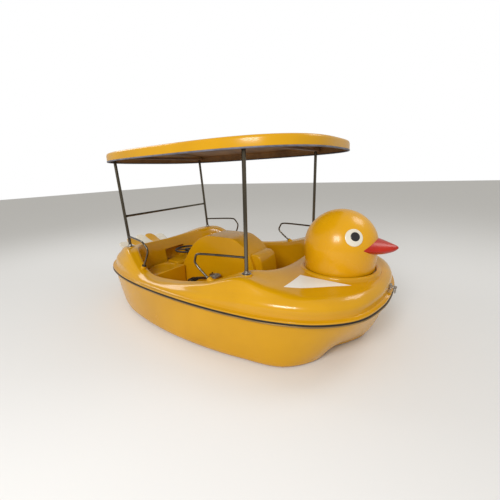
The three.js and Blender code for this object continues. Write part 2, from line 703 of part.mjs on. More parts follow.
function shaftBearing(side) {
  const bore = SHAFT_R + 2 * RUNNING;
  const profile = [[bore, 0], [38, 0], [38, 7], [26, 10], [24, 22], [bore, 22], [bore, 0]];
  const wall = side * (TUNNEL_HALF + LAMINATE + GAP);
  return turnedAlong(profile, 20, [SHAFT_X, wall, SHAFT_Z], [SHAFT_X, wall + side, SHAFT_Z]);
}

// ---- Steering ---------------------------------------------------------------------------

function steeringWheel() {
  const spokes = [90, 210, 330].map((degrees) => (
    rod([0, 0, -6], [HELM_R, 0, 0], 8, 8).rotate(0, 0, degrees)));
  const hub = rod([0, 0, -22], [0, 0, 12], 34, 24);
  const socket = rod([0, 0, -40], [0, 0, 4], COLUMN_R + GAP);
  return cut(join(hoop(HELM_R, HELM_RIM_R, 28, 8), ...spokes, hub), socket)
    .translate(HELM_X, 0, HELM_Z);
}

/** The column from the wheel's hub down through the tunnel roof to the helm drum. */
function steeringColumn() {
  return rod([HELM_X, 0, DRUM_Z - DRUM_THICK / 2 - 6], [HELM_X, 0, HELM_Z + 3], COLUMN_R);
}

/** A grooved drum for the steering cable. */
function drum(x, radius, bore) {
  const half = DRUM_THICK / 2;
  const rim = radius + 2 * CABLE_R + CABLE_PLAY + 2;
  const profile = [
    [0, -half], [rim, -half], [rim, -half + 3], [radius, -half + 5],
    [radius, half - 5], [rim, half - 3], [rim, half], [0, half],
  ];
  const hole = rod([0, 0, -half - 2], [0, 0, half + 2], bore + GAP);
  return cut(turned(profile, 20), hole).translate(x, 0, DRUM_Z);
}

const helmDrum = () => drum(HELM_X, DRUM_R, COLUMN_R);
const rudderDrum = () => drum(RUDDER_X, QUADRANT_R, STOCK_R);

/** A flanged bush that guides an upright shaft through a moulding, resting on it. */
function bush(x, restZ, radius, depth, hole) {
  const profile = [
    [radius + RUNNING, -depth], [hole - 1, -depth], [hole - 1, GAP], [radius + 20, GAP],
    [radius + 20, 8], [radius + 12, 14], [radius + RUNNING, 14], [radius + RUNNING, -depth],
  ];
  return turned(profile, 16).translate(x, 0, restZ);
}

const columnBush = () => bush(HELM_X, REAR_CONSOLE_Z, COLUMN_R, LAMINATE, COLUMN_R + 6);
const rudderBush = () => bush(RUDDER_X, TUNNEL_ROOF_Z + LAMINATE, STOCK_R, LAMINATE, STOCK_R + 4);

/** The crossed cable: round the helm drum and the rudder drum, so the two turn opposite ways. */
class CableRoute extends THREE.Curve {
  constructor() {
    super();
    const reach = HELM_X - RUDDER_X;
    const small = DRUM_R + CABLE_R + CABLE_PLAY;
    const large = QUADRANT_R + CABLE_R + CABLE_PLAY;
    const lean = Math.acos((small + large) / reach);
    const wrap = 2 * (Math.PI - lean);
    this.lean = lean;
    this.small = small;
    this.large = large;
    this.run = Math.sqrt(reach ** 2 - (small + large) ** 2);
    this.lengths = [small * wrap, this.run, large * wrap, this.run];
    this.total = this.lengths.reduce((sum, one) => sum + one, 0);
  }

  /** A point on a drum at an angle from +X, at a height above the drum's middle. */
  onDrum(x, radius, angle, lift) {
    return new THREE.Vector3(x + radius * Math.cos(angle), radius * Math.sin(angle), DRUM_Z + lift);
  }

  getPoint(t, target = new THREE.Vector3()) {
    const lift = CABLE_R + 0.6;
    const start = this.lengths[2] / 2;
    const open = 2 * CABLE_R;
    let s = start + open / 2 + t * (this.total - open);
    const [a, b, c, d] = this.lengths;
    const order = [[c, 'large'], [d, 'down'], [a, 'small'], [b, 'up']];
    let place = 0;
    while (s > order[place % 4][0]) {
      s -= order[place % 4][0];
      place += 1;
    }
    const share = s / order[place % 4][0];
    const kind = order[place % 4][1];
    const away = Math.PI - this.lean;
    const largeEnd = this.onDrum(RUDDER_X, this.large, this.lean, lift);
    const smallStart = this.onDrum(HELM_X, this.small, Math.PI + this.lean, lift);
    const smallEnd = this.onDrum(HELM_X, this.small, Math.PI - this.lean, -lift);
    const largeStart = this.onDrum(RUDDER_X, this.large, -this.lean, -lift);
    const swing = (from, to) => from + (to - from) * share;
    if (kind === 'large') {
      const angle = swing(-this.lean, -this.lean - 2 * away);
      return target.copy(this.onDrum(RUDDER_X, this.large, angle, swing(-lift, lift)));
    }
    if (kind === 'down') return target.copy(largeEnd.lerp(smallStart, share));
    if (kind === 'small') {
      const angle = swing(Math.PI + this.lean, Math.PI + this.lean + 2 * away);
      return target.copy(this.onDrum(HELM_X, this.small, angle, swing(lift, -lift)));
    }
    return target.copy(smallEnd.lerp(largeStart, share));
  }
}

const steeringCable = () => tube(new CableRoute(), CABLE_R, 76, 8);

function rudderStock() {
  return rod([RUDDER_X, 0, BLADE_TOP_Z - 70], [RUDDER_X, 0, TUNNEL_ROOF_Z + 40], STOCK_R);
}

/** The blade, with a clamped boss round the stock. */
function rudderBlade() {
  const half = BLADE_THICK / 2;
  const outline = [
    [RUDDER_X + BLADE_FORE, BLADE_TOP_Z - 20], [RUDDER_X + BLADE_FORE - 14, BLADE_TOP_Z],
    [RUDDER_X - BLADE_AFT, BLADE_TOP_Z], [RUDDER_X - BLADE_AFT - 12, BLADE_BOTTOM_Z + 40],
    [RUDDER_X - BLADE_AFT + 20, BLADE_BOTTOM_Z], [RUDDER_X + 20, BLADE_BOTTOM_Z],
  ].reverse();
  const boss = rod([RUDDER_X, 0, BLADE_TOP_Z - 90], [RUDDER_X, 0, BLADE_TOP_Z], STOCK_R + 7);
  const bore = rod([RUDDER_X, 0, BLADE_TOP_Z - 71], [RUDDER_X, 0, BLADE_TOP_Z + 9], STOCK_R + GAP);
  return cut(join(sideways(outline, half), boss), bore);
}

// ---- Duck -------------------------------------------------------------------------------

/** Radius and height pairs of the head's skin from its foot to its crown, moved out by grow. */
function headProfile(grow) {
  const neck = [
    [NECK_R + grow, COLLAR_TOP_Z + GAP], [NECK_R + 3 + grow, 690], [HEAD_R - 4 + grow, 770],
  ];
  const dome = Array.from({ length: DOME_STEPS }, (_, i) => {
    const angle = (i / DOME_STEPS) * (Math.PI / 2);
    const height = HEAD_Z + (HEAD_TOP_Z - HEAD_Z + grow) * Math.sin(angle);
    return [(HEAD_R + grow) * Math.cos(angle), height];
  });
  return [...neck, ...dome, [0, HEAD_TOP_Z + grow]];
}

/** The whole head as a solid, moved out by grow. */
function headSolid(grow) {
  const profile = [[0, COLLAR_TOP_Z + GAP], ...headProfile(grow)];
  return turned(profile, HEAD_SIDES).translate(NECK_X, 0, 0);
}

function duckHead() {
  const skinned = headProfile(0);
  const lining = headProfile(-LAMINATE).reverse();
  return turned([...skinned, ...lining, skinned[0]], HEAD_SIDES).translate(NECK_X, 0, 0);
}

/** The beak: oval sections from its root inside the head to its tip. */
function beak() {
  const reach = BEAK_TIP_X - 1335;
  const sections = [
    [0, 168, 72, 858], [0.3, 140, 68, 853], [0.58, 104, 54, 850], [0.8, 66, 37, 852],
    [0.93, 36, 22, 857], [1, 9, 7, 861],
  ];
  const rows = sections.map(([share, wide, tall, z]) => Array.from({ length: 24 }, (_, i) => {
    const angle = (i / 24) * 2 * Math.PI;
    const droop = Math.cos(angle) < 0 ? 0.85 : 1;
    return new THREE.Vector3(
      1335 + reach * share, wide * Math.sin(angle), z + tall * droop * Math.cos(angle));
  }));
  return largest(cut(capped(rows), headSolid(GAP)));
}

/** Rings joined to the middle point of each end. */
function capped(rows) {
  const points = rows.flat();
  const around = rows[0].length;
  const faces = skin(rows, false);
  const middle = (row) => row.reduce((sum, p) => sum.add(p), new THREE.Vector3())
    .divideScalar(around);
  points.push(middle(rows[0]), middle(rows[rows.length - 1]));
  const top = (rows.length - 1) * around;
  for (let i = 0; i < around; i += 1) {
    const k = (i + 1) % around;
    faces.push(rows.length * around, k, i);
    faces.push(rows.length * around + 1, top + i, top + k);
  }
  return bodyOf(points, faces);
}

const EYE_DIRECTION = [0.545, 0.735, 0.41];

/** A disc of the head's own curve, between two distances out from its skin. */
function eyeDisc(side, radius, from, to, lead) {
  const axis = new THREE.Vector3(EYE_DIRECTION[0] + lead, side * EYE_DIRECTION[1], EYE_DIRECTION[2] + lead);
  axis.normalize();
  const core = new THREE.Vector3(NECK_X, 0, HEAD_Z);
  const end = core.clone().addScaledVector(axis, HEAD_R + 60);
  const post = rod(core.toArray(), end.toArray(), radius, 18);
  return largest(cut(headSolid(to), headSolid(from)).intersect(post));
}

const eyeWhite = (side) => eyeDisc(side, EYE_R, GAP, 5, 0);
const pupil = (side) => eyeDisc(side, PUPIL_R, 5 + GAP, 9, 0.03);

/** Share of the way aft, level, width and thickness of a feather, root to tip. */
const FEATHER_LINE = [
  [0, TAIL_ROOT_Z, 0.78, 1], [0.25, 536, 0.9, 1], [0.48, 544, 1, 1], [0.7, 576, 1.02, 0.95],
  [0.86, 608, 0.9, 0.85], [0.95, 626, 0.62, 0.65], [1, TAIL_TIP_Z, 0.24, 0.35],
];

/** One feather of the tail; place counts from the middle one. */
function feather(place) {
  const reach = TAIL_TIP_X + 16 * place ** 2 - TAIL_ROOT_X;
  const rows = FEATHER_LINE.map(([share, level, wide, thick]) => {
    const y = place * FEATHER_PITCH * (0.72 + 0.28 * share);
    const z = level - 5 * place ** 2 * share;
    return Array.from({ length: 16 }, (_, i) => {
      const angle = (i / 16) * 2 * Math.PI;
      const [c, s] = [Math.cos(angle), Math.sin(angle)];
      return new THREE.Vector3(
        TAIL_ROOT_X + reach * share,
        y + Math.sign(s) * Math.abs(s) ** 0.6 * FEATHER_HALF * wide,
        z + Math.sign(c) * Math.abs(c) ** 0.8 * (FEATHER_THICK / 2) * thick,
      );
    });
  });
  return capped(rows);
}

/** The upswept tail: a fan of feathers that springs from the stern deck. */
function duckTail(deck) {
  const middle = (TAIL_FEATHERS - 1) / 2;
  const feathers = Array.from({ length: TAIL_FEATHERS }, (_, i) => feather(i - middle));
  const clear = [GAP, -24, -48, -72].map((drop) => deck.translate(0, 0, drop));
  return largest(cut(join(...feathers), ...clear));
}

// ---- Canopy -----------------------------------------------------------------------------

/** A rounded oblong about the canopy's middle, drawn in by a margin. */
function canopyRing(margin, level, share = 1) {
  const count = 36;
  const roundness = 2 / 3.2;
  return Array.from({ length: count }, (_, i) => {
    const angle = (i / count) * 2 * Math.PI;
    const [c, s] = [Math.cos(angle), Math.sin(angle)];
    const x = Math.sign(c) * Math.abs(c) ** roundness * (CANOPY_HALF_LENGTH - margin) * share;
    const y = Math.sign(s) * Math.abs(s) ** roundness * (CANOPY_HALF_WIDTH - margin) * share;
    return new THREE.Vector3(CANOPY_MID_X + x, y, level);
  });
}

/** The roof's outer or inner form, from its lower edge to its crown. */
function roofForm(margin, lowest) {
  const eaves = CANOPY_EDGE_Z + CANOPY_FASCIA - margin;
  return stack([
    canopyRing(margin, lowest),
    canopyRing(margin + 4, eaves - 12),
    canopyRing(margin + 9, eaves - 3),
    canopyRing(margin + 18, eaves + 2),
    canopyRing(margin + 18, eaves + CANOPY_CROWN * 0.55, 0.74),
    canopyRing(margin + 18, eaves + CANOPY_CROWN * 0.9, 0.38),
    canopyRing(margin + 18, eaves + CANOPY_CROWN, 0.06),
  ]);
}

function canopyRoof() {
  return cut(roofForm(0, CANOPY_EDGE_Z), roofForm(LAMINATE, CANOPY_EDGE_Z - 20));
}

function canopyTrim() {
  const top = CANOPY_EDGE_Z - GAP;
  return cut(
    raised(plan(canopyRing(-3, 0)), top - CANOPY_TRIM, top),
    raised(plan(canopyRing(11, 0)), top - CANOPY_TRIM - 1, top + 1),
  );
}

/** A cross beam inside the roof that the post tops are bolted to. */
function canopyBeam(post) {
  const x = post.top[0];
  const bottom = POST_TOP_Z + GAP;
  const bar = box([x - 28, -CANOPY_HALF_WIDTH, bottom], [x + 28, CANOPY_HALF_WIDTH, bottom + 24]);
  return bar.intersect(roofForm(LAMINATE + GAP, CANOPY_EDGE_Z - 20));
}

function postTube(post, side, padZ) {
  const above = box([-2000, -1000, POST_TOP_Z], [2000, 1000, POST_TOP_Z + 100]);
  return cut(postRod(post, side, padZ, padZ + 5 + GAP, POST_TOP_Z + 5, POST_R), above);
}

/** The flanged socket that a post stands in. */
function postBase(post, side, padZ) {
  const plate = 5;
  const profile = [
    [0, GAP], [BASE_R, GAP], [BASE_R, plate - 1], [POST_R + 9, plate + 1], [POST_R + 5, plate + 5],
    [POST_R + 5, BASE_SOCKET], [POST_R + GAP, BASE_SOCKET], [POST_R + GAP, plate], [0, plate],
  ];
  const [from, to] = [padZ, padZ + 100].map((level) => postPoint(post, side, padZ, level));
  return turnedAlong(profile, 20, from, to);
}

function rearCrossbar() {
  const [, post, padZ] = ENDS[1];
  const [a, b] = SIDES.map(([, side]) => postPoint(post, side, padZ, CROSSBAR_Z));
  const posts = SIDES.map(([, side]) => (
    postRod(post, side, padZ, CROSSBAR_Z - 80, CROSSBAR_Z + 80, POST_R + GAP)));
  return cut(rod(a, b, CROSSBAR_R), ...posts);
}

function handrail(end, post, side, padZ) {
  const bar = tube(railPath(end, post, side, padZ), RAIL_R, 24, 8);
  const foot = rod(aboveFoot(end, side, -5 + GAP), aboveFoot(end, side, 2), RAIL_PAD_R - 2);
  const clear = postRod(post, side, padZ, RAIL_POST_Z - 80, RAIL_POST_Z + 80, POST_R + GAP);
  return largest(cut(join(bar, foot), clear));
}

// ---- Mooring ring, keel strips and drain plugs ------------------------------------------

const EYE_PLATE = { aft: 1500, fore: 1542, half: 24, rise: 20, lugHalf: 5 };
const KEEL_LINE = { aft: -1230, fore: 880, y: 560, half: 22 };
const DRAIN = { y: 330, z: 190, radius: 20 };

/** A lug on a plate at the bow, bored for the ring. */
function mooringEye(deck) {
  const [low, high] = [EYE_HOLE_Z - EYE_NOSE_R, EYE_HOLE_Z + EYE_NOSE_R];
  const { aft, fore, half, rise, lugHalf } = EYE_PLATE;
  const lug = box([aft, -lugHalf, low], [EYE_HOLE_X + 1, lugHalf, high]);
  const nose = rod(
    [EYE_HOLE_X, -lugHalf, EYE_HOLE_Z], [EYE_HOLE_X, lugHalf, EYE_HOLE_Z], EYE_NOSE_R);
  const plate = box([aft, -half, EYE_HOLE_Z - rise], [fore, half, EYE_HOLE_Z + rise]);
  const hole = rod([EYE_HOLE_X, -20, EYE_HOLE_Z], [EYE_HOLE_X, 20, EYE_HOLE_Z], RING_WIRE_R + 2);
  const behind = Array.from({ length: 8 }, (_, i) => deck.translate(GAP - 6 * i, 0, 0));
  return largest(cut(join(lug, nose, plate), hole, ...behind));
}

/** The ring hangs square to X, through the lug's hole. */
function mooringRing() {
  return hoop(RING_R, RING_WIRE_R, 20, 6).rotate(0, 90, 0)
    .translate(EYE_HOLE_X, 0, EYE_HOLE_Z - RING_R);
}

function keelStrip(side) {
  const { aft, fore, y, half } = KEEL_LINE;
  return box([aft, side * y - half, 0], [fore, side * y + half, KEEL_STRIP]);
}

/** A screwed plug low in the stern of a pontoon. */
function drainPlug(side, hull) {
  const { z, radius } = DRAIN;
  const y = side * DRAIN.y;
  const plug = rod([-1800, y, z], [-1500, y, z], radius, 20);
  const around = 2 * radius;
  const aft = box([-1900, y - around, z - around], [stemX(z) - 12, y + around, z + around]);
  return largest(cut(plug, hull.translate(-GAP, 0, 0), hull.translate(8, 0, 0), aft));
}

/** How far aft the hull's stern reaches at a level. */
function stemX(level) {
  const share = (HULL_SIDE_TOP_Z - level) / (HULL_SIDE_TOP_Z - HULL_BOTTOM_Z);
  return STERN_X + FLANGE_WIDTH + (BOTTOM[BOTTOM.length - 1][0] - STERN_X - FLANGE_WIDTH) * share;
}

// ---- The boat ---------------------------------------------------------------------------

const boat = new THREE.Group();
boat.position.x = -(EYE_HOLE_X + EYE_NOSE_R + TAIL_TIP_X) / 2;

/** Adds one named piece with its own material. */
function add(name, made, color, finish) {
  const material = new THREE.MeshStandardMaterial({ color, ...finish });
  const mesh = new THREE.Mesh(geometryOf(made), material);
  mesh.name = name;
  boat.add(mesh);
}

const hull = hullShell();
const deck = deckShell();
add('hull_shell', hull, FRP_YELLOW, GLOSS);
add('deck_shell', deck, FRP_YELLOW, GLOSS);
add('cockpit_sole', cockpitSole(), 0xc98a10, { roughness: 0.6, metalness: 0 });
add('gunwale_gasket', gunwaleGasket(), 0x15110c, { roughness: 0.7, metalness: 0 });
add('rub_strip', rubStrip(), 0xb59a72, { roughness: 0.4, metalness: 0.6 });
add('wheel_cover', wheelCover(), FRP_YELLOW, GLOSS);
add('front_console', frontConsole(), FRP_YELLOW, GLOSS);
add('rear_console', rearConsole(), FRP_YELLOW, GLOSS);
for (const [name, side] of SIDES) {
  add(`rear_seat_${name}`, rearSeat(side), FRP_YELLOW, GLOSS);
  add(`front_seat_${name}`, frontSeat(side), FRP_YELLOW, GLOSS);
  add(`shaft_bearing_${name}`, shaftBearing(side), 0x2b2b2b, { roughness: 0.6, metalness: 0.2 });
  add(`pedal_inner_${name}`, pedal(side, true), 0x8d8d8a, { roughness: 0.5, metalness: 0.1 });
  add(`pedal_outer_${name}`, pedal(side, false), 0x171717, { roughness: 0.6, metalness: 0 });
  add(`eye_white_${name}`, eyeWhite(side), 0xf4f2ec, GLOSS);
  add(`pupil_${name}`, pupil(side), 0x0d0d0d, GLOSS);
  add(`keel_strip_${name}`, keelStrip(side), 0x2e2c28, { roughness: 0.8, metalness: 0 });
  add(`drain_plug_${name}`, drainPlug(side, hull), 0x303030, { roughness: 0.5, metalness: 0 });
  for (const [end, post, padZ] of ENDS) {
    add(`post_${end}_${name}`, postTube(post, side, padZ), 0x8f8d88, STEEL);
    add(`post_base_${end}_${name}`, postBase(post, side, padZ), 0x9a9892, STEEL);
    add(`handrail_${end}_${name}`, handrail(end, post, side, padZ), 0x96948e, STEEL);
  }
}
add('rear_crossbar', rearCrossbar(), 0x96948e, STEEL);
add('canopy_roof', canopyRoof(), FRP_YELLOW, GLOSS);
add('canopy_trim', canopyTrim(), 0x5c5f69, { roughness: 0.6, metalness: 0 });
add('canopy_beam_front', canopyBeam(POST_FRONT), 0x6d5136, { roughness: 0.7, metalness: 0 });
add('canopy_beam_rear', canopyBeam(POST_REAR), 0x6d5136, { roughness: 0.7, metalness: 0 });
add('paddle_wheel', paddleWheel(), 0x9a9c9e, { roughness: 0.5, metalness: 0.7 });
add('pedal_crankshaft', crankshaft(), 0x8f8d88, STEEL);
add('steering_wheel', steeringWheel(), 0x161616, { roughness: 0.5, metalness: 0 });
add('steering_column', steeringColumn(), 0x8f8d88, STEEL);
add('helm_drum', helmDrum(), 0x222222, { roughness: 0.6, metalness: 0 });
add('column_bush', columnBush(), 0x1b1b1b, { roughness: 0.6, metalness: 0 });
add('steering_cable', steeringCable(), 0x8a8a88, STEEL);
add('rudder_drum', rudderDrum(), 0x222222, { roughness: 0.6, metalness: 0 });
add('rudder_stock', rudderStock(), 0x8f8d88, STEEL);
add('rudder_bush', rudderBush(), 0x1b1b1b, { roughness: 0.6, metalness: 0 });
add('rudder_blade', rudderBlade(), 0xd9a11c, GLOSS);
add('duck_head', duckHead(), FRP_YELLOW, GLOSS);
add('beak', beak(), 0xc8321e, { roughness: 0.35, metalness: 0 });
add('duck_tail', duckTail(deck), 0xf1efe8, GLOSS);
add('mooring_eye', mooringEye(deck), 0x9a9892, STEEL);
add('mooring_ring', mooringRing(), 0x9a9892, STEEL);

export default boat;
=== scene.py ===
"""Finished looks of a four-seat pedal boat in the shape of a duck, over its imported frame.

Lengths in the tables of lines are millimetres from amidships; everything made is in metres.
"""

import logging
import math
from dataclasses import dataclass
from enum import Enum
from typing import Sequence

import bmesh
import bpy
from mathutils import Matrix, Vector


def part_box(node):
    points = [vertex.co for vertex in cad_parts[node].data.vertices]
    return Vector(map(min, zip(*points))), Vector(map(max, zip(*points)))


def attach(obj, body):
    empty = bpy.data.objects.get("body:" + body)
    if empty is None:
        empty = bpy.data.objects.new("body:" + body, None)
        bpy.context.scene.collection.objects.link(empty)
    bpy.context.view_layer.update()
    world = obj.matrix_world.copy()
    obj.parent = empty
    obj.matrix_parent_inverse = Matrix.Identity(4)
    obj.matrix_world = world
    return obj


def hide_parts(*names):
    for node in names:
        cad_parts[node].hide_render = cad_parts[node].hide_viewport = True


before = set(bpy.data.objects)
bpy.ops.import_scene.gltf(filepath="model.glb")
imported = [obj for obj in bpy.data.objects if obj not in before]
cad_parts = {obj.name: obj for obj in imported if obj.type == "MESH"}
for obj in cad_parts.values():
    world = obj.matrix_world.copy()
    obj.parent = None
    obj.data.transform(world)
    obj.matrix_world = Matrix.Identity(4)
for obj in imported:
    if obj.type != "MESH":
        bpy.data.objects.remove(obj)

logging.basicConfig(level=logging.INFO, format="%(message)s")
LOG = logging.getLogger("pedal boat")

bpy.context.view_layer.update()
AMIDSHIPS_X = 0.1885  # where the lines' own zero lies in the frame
LAMINATE = 0.006
SIDES = (("port", 1), ("starboard", -1))
SHAFT_X, SHAFT_Z = -300, 370  # the paddle shaft
HELM_X = -895  # the steering column
RUDDER_X = -1430  # the rudder's stock
NECK_X = 1097  # the middle of the neck

Point = tuple[float, float, float]
Colour = tuple[float, float, float, float]
Loop = list[Vector]


def mm(x: float, y: float, z: float) -> Vector:
    """A point of the boat's lines, in the frame's metres."""
    return Vector((x / 1000 + AMIDSHIPS_X, y / 1000, z / 1000))


# ---- Finishes ------------------------------------------------------------------------------


def linear(code: str) -> Colour:
    """Turns an sRGB hex colour into linear light.

    Args:
        code: Six hex digits after a hash.

    Returns:
        The colour with an alpha of one.
    """
    parts = [int(code[i : i + 2], 16) / 255 for i in (1, 3, 5)]
    light = [c / 12.92 if c <= 0.04045 else ((c + 0.055) / 1.055) ** 2.4 for c in parts]
    return (light[0], light[1], light[2], 1.0)


def add_node(
    tree: bpy.types.NodeTree, kind: str, settings: dict | None = None, links: dict | None = None
) -> bpy.types.Node:
    """Adds a node, sets its inputs and properties, and links its inputs.

    Args:
        tree: The material's node tree.
        kind: The node's type name.
        settings: Values by input name, input number or property name.
        links: Output sockets by input name or number.

    Returns:
        The new node.
    """
    node = tree.nodes.new(kind)
    for key, value in (settings or {}).items():
        if isinstance(key, str) and hasattr(node, key):
            setattr(node, key, value)
        else:
            node.inputs[key].default_value = value
    for key, socket in (links or {}).items():
        tree.links.new(socket, node.inputs[key])
    return node


@dataclass(frozen=True)
class Finish:
    """What a surface is made of: its name, two colours that it wanders between, and its gloss."""

    name: str
    colour: str
    shade: str
    roughness: float
    slot: str
    metallic: float = 0.0
    coat: float = 0.0
    specular: float = 0.5
    patch_mm: float = 300.0  # size of the drifts of colour
    grain_mm: float = 6.0  # size of the surface's own grain
    relief_mm: float = 0.05
    stretch: Point = (1.0, 1.0, 1.0)

    def coordinates(self, tree: bpy.types.NodeTree) -> bpy.types.NodeSocket:
        """Object coordinates, pulled out along the finish's own lay.

        Args:
            tree: The material's node tree.

        Returns:
            A vector socket.
        """
        where = add_node(tree, "ShaderNodeTexCoord")
        scaled = add_node(
            tree, "ShaderNodeMapping", {"Scale": self.stretch}, {"Vector": where.outputs["Object"]}
        )
        return scaled.outputs["Vector"]

    def base_colour(
        self, tree: bpy.types.NodeTree, where: bpy.types.NodeSocket
    ) -> bpy.types.NodeSocket:
        """The colour over the surface.

        Args:
            tree: The material's node tree.
            where: The coordinates that patterns read.

        Returns:
            A colour socket.
        """
        drift = add_node(
            tree,
            "ShaderNodeTexNoise",
            {"Scale": 1000 / self.patch_mm, "Detail": 3.0, "Roughness": 0.55},
            {"Vector": where},
        )
        ramp = add_node(tree, "ShaderNodeValToRGB", None, {"Fac": drift.outputs["Fac"]})
        ramp.color_ramp.elements[0].position = 0.34
        ramp.color_ramp.elements[0].color = linear(self.shade)
        ramp.color_ramp.elements[1].position = 0.62
        ramp.color_ramp.elements[1].color = linear(self.colour)
        return ramp.outputs["Color"]

    def mixed(
        self,
        tree: bpy.types.NodeTree,
        share: bpy.types.NodeSocket,
        low: bpy.types.NodeSocket | Colour,
        high: Colour,
    ) -> bpy.types.NodeSocket:
        """A mix of two colours by a share.

        Args:
            tree: The material's node tree.
            share: Zero for the first colour and one for the second.
            low: The first colour, or a socket that gives it.
            high: The second colour.

        Returns:
            A colour socket.
        """
        mix = add_node(tree, "ShaderNodeMix", {"data_type": "RGBA"}, {"Factor": share})
        first, second = (socket for socket in mix.inputs if socket.type == "RGBA")
        second.default_value = high
        if isinstance(low, tuple):
            first.default_value = low
        else:
            tree.links.new(low, first)
        return next(socket for socket in mix.outputs if socket.type == "RGBA")

    def relief(
        self, tree: bpy.types.NodeTree, where: bpy.types.NodeSocket
    ) -> bpy.types.NodeSocket:
        """The height of the surface's grain.

        Args:
            tree: The material's node tree.
            where: The coordinates that patterns read.

        Returns:
            A socket that runs from zero to one.
        """
        grain = add_node(
            tree,
            "ShaderNodeTexNoise",
            {"Scale": 1000 / self.grain_mm, "Detail": 4.0, "Roughness": 0.6},
            {"Vector": where},
        )
        return grain.outputs["Fac"]

    def make(self) -> bpy.types.Material:
        """Builds the material.

        Returns:
            The material, made once and kept under its name.
        """
        known = bpy.data.materials.get(self.name)
        if known:
            return known
        material = bpy.data.materials.new(self.name)
        material.use_nodes = True
        tree = material.node_tree
        shader = tree.nodes["Principled BSDF"]
        shader.inputs["Metallic"].default_value = self.metallic
        shader.inputs["Coat Weight"].default_value = self.coat
        shader.inputs["Specular IOR Level"].default_value = self.specular
        shader.inputs["Coat Roughness"].default_value = 0.06
        where = self.coordinates(tree)
        tree.links.new(self.base_colour(tree, where), shader.inputs["Base Color"])
        height = self.relief(tree, where)
        gloss = add_node(
            tree,
            "ShaderNodeMapRange",
            {"To Min": self.roughness * 0.8, "To Max": min(1.0, self.roughness * 1.25)},
            {"Value": height},
        )
        tree.links.new(gloss.outputs["Result"], shader.inputs["Roughness"])
        bump = add_node(
            tree,
            "ShaderNodeBump",
            {"Strength": 0.6, "Distance": self.relief_mm / 1000},
            {"Height": height},
        )
        tree.links.new(bump.outputs["Normal"], shader.inputs["Normal"])
        return material


@dataclass(frozen=True)
class Gelcoat(Finish):
    """Glossy polyester gelcoat: faint waves of the lay-up, and painted patches where given.

    Each patch is a convex outline in plan, in millimetres, painted on both sides of the boat
    above a level.
    """

    patches: tuple[tuple[tuple[float, float], ...], ...] = ()
    paint: str = "#F0EEE6"
    above: float = 0.0
    waves: float = 9.0  # waves of the laminate in a metre
    wave_height: float = 9.0  # height of the waves over the height of the peel

    def relief(
        self, tree: bpy.types.NodeTree, where: bpy.types.NodeSocket
    ) -> bpy.types.NodeSocket:
        """Long waves of the laminate under a fine orange peel.

        Args:
            tree: The material's node tree.
            where: The coordinates that patterns read.

        Returns:
            The height, as a socket.
        """
        peel = super().relief(tree, where)
        waves = add_node(
            tree,
            "ShaderNodeTexNoise",
            {"Scale": self.waves, "Detail": 1.0},
            {"Vector": where},
        )
        both = add_node(
            tree,
            "ShaderNodeMath",
            {"operation": "MULTIPLY_ADD", 1: self.wave_height},
            {0: waves.outputs["Fac"], 2: peel},
        )
        evened = add_node(
            tree,
            "ShaderNodeMath",
            {"operation": "MULTIPLY", 1: 1 / (1 + self.wave_height)},
            {0: both.outputs[0]},
        )
        return evened.outputs[0]

    def base_colour(
        self, tree: bpy.types.NodeTree, where: bpy.types.NodeSocket
    ) -> bpy.types.NodeSocket:
        """The drifting gelcoat colour, with the painted patches laid over it.

        Args:
            tree: The material's node tree.
            where: The coordinates that patterns read.

        Returns:
            A colour socket.
        """
        colour = super().base_colour(tree, where)
        for outline in self.patches:
            colour = self.mixed(
                tree, self.inside(tree, where, outline), colour, linear(self.paint)
            )
        return colour

    def inside(
        self,
        tree: bpy.types.NodeTree,
        where: bpy.types.NodeSocket,
        outline: Sequence[tuple[float, float]],
    ) -> bpy.types.NodeSocket:
        """One inside a convex outline and zero outside it, with a soft edge of a millimetre.

        Args:
            tree: The material's node tree.
            where: Object coordinates.
            outline: Corners in plan, anticlockwise, on the port side.

        Returns:
            The mask's socket.
        """
        split = add_node(tree, "ShaderNodeSeparateXYZ", None, {0: where})
        either_side = add_node(
            tree, "ShaderNodeMath", {"operation": "ABSOLUTE"}, {0: split.outputs["Y"]}
        )
        mirrored = add_node(
            tree,
            "ShaderNodeCombineXYZ",
            None,
            {"X": split.outputs["X"], "Y": either_side.outputs[0], "Z": split.outputs["Z"]},
        ).outputs[0]
        level = add_node(
            tree,
            "ShaderNodeVectorMath",
            {"operation": "DOT_PRODUCT", 1: (0.0, 0.0, 1.0)},
            {0: mirrored},
        )
        least = add_node(
            tree, "ShaderNodeMath", {"operation": "SUBTRACT", 1: self.above}, {0: level.outputs[1]}
        ).outputs[0]
        corners = [mm(x, y, 0) for x, y in outline]
        for a, b in zip(corners, corners[1:] + corners[:1]):
            inward = Vector((a.y - b.y, b.x - a.x, 0)).normalized()
            side = add_node(
                tree,
                "ShaderNodeVectorMath",
                {"operation": "DOT_PRODUCT", 1: inward},
                {0: mirrored},
            )
            past = add_node(
                tree,
                "ShaderNodeMath",
                {"operation": "SUBTRACT", 1: inward.dot(a)},
                {0: side.outputs[1]},
            )
            least = add_node(
                tree, "ShaderNodeMath", {"operation": "MINIMUM"}, {0: least, 1: past.outputs[0]}
            ).outputs[0]
        edge = add_node(
            tree, "ShaderNodeMapRange", {"From Min": 0.0, "From Max": 0.0015}, {"Value": least}
        )
        return edge.outputs["Result"]


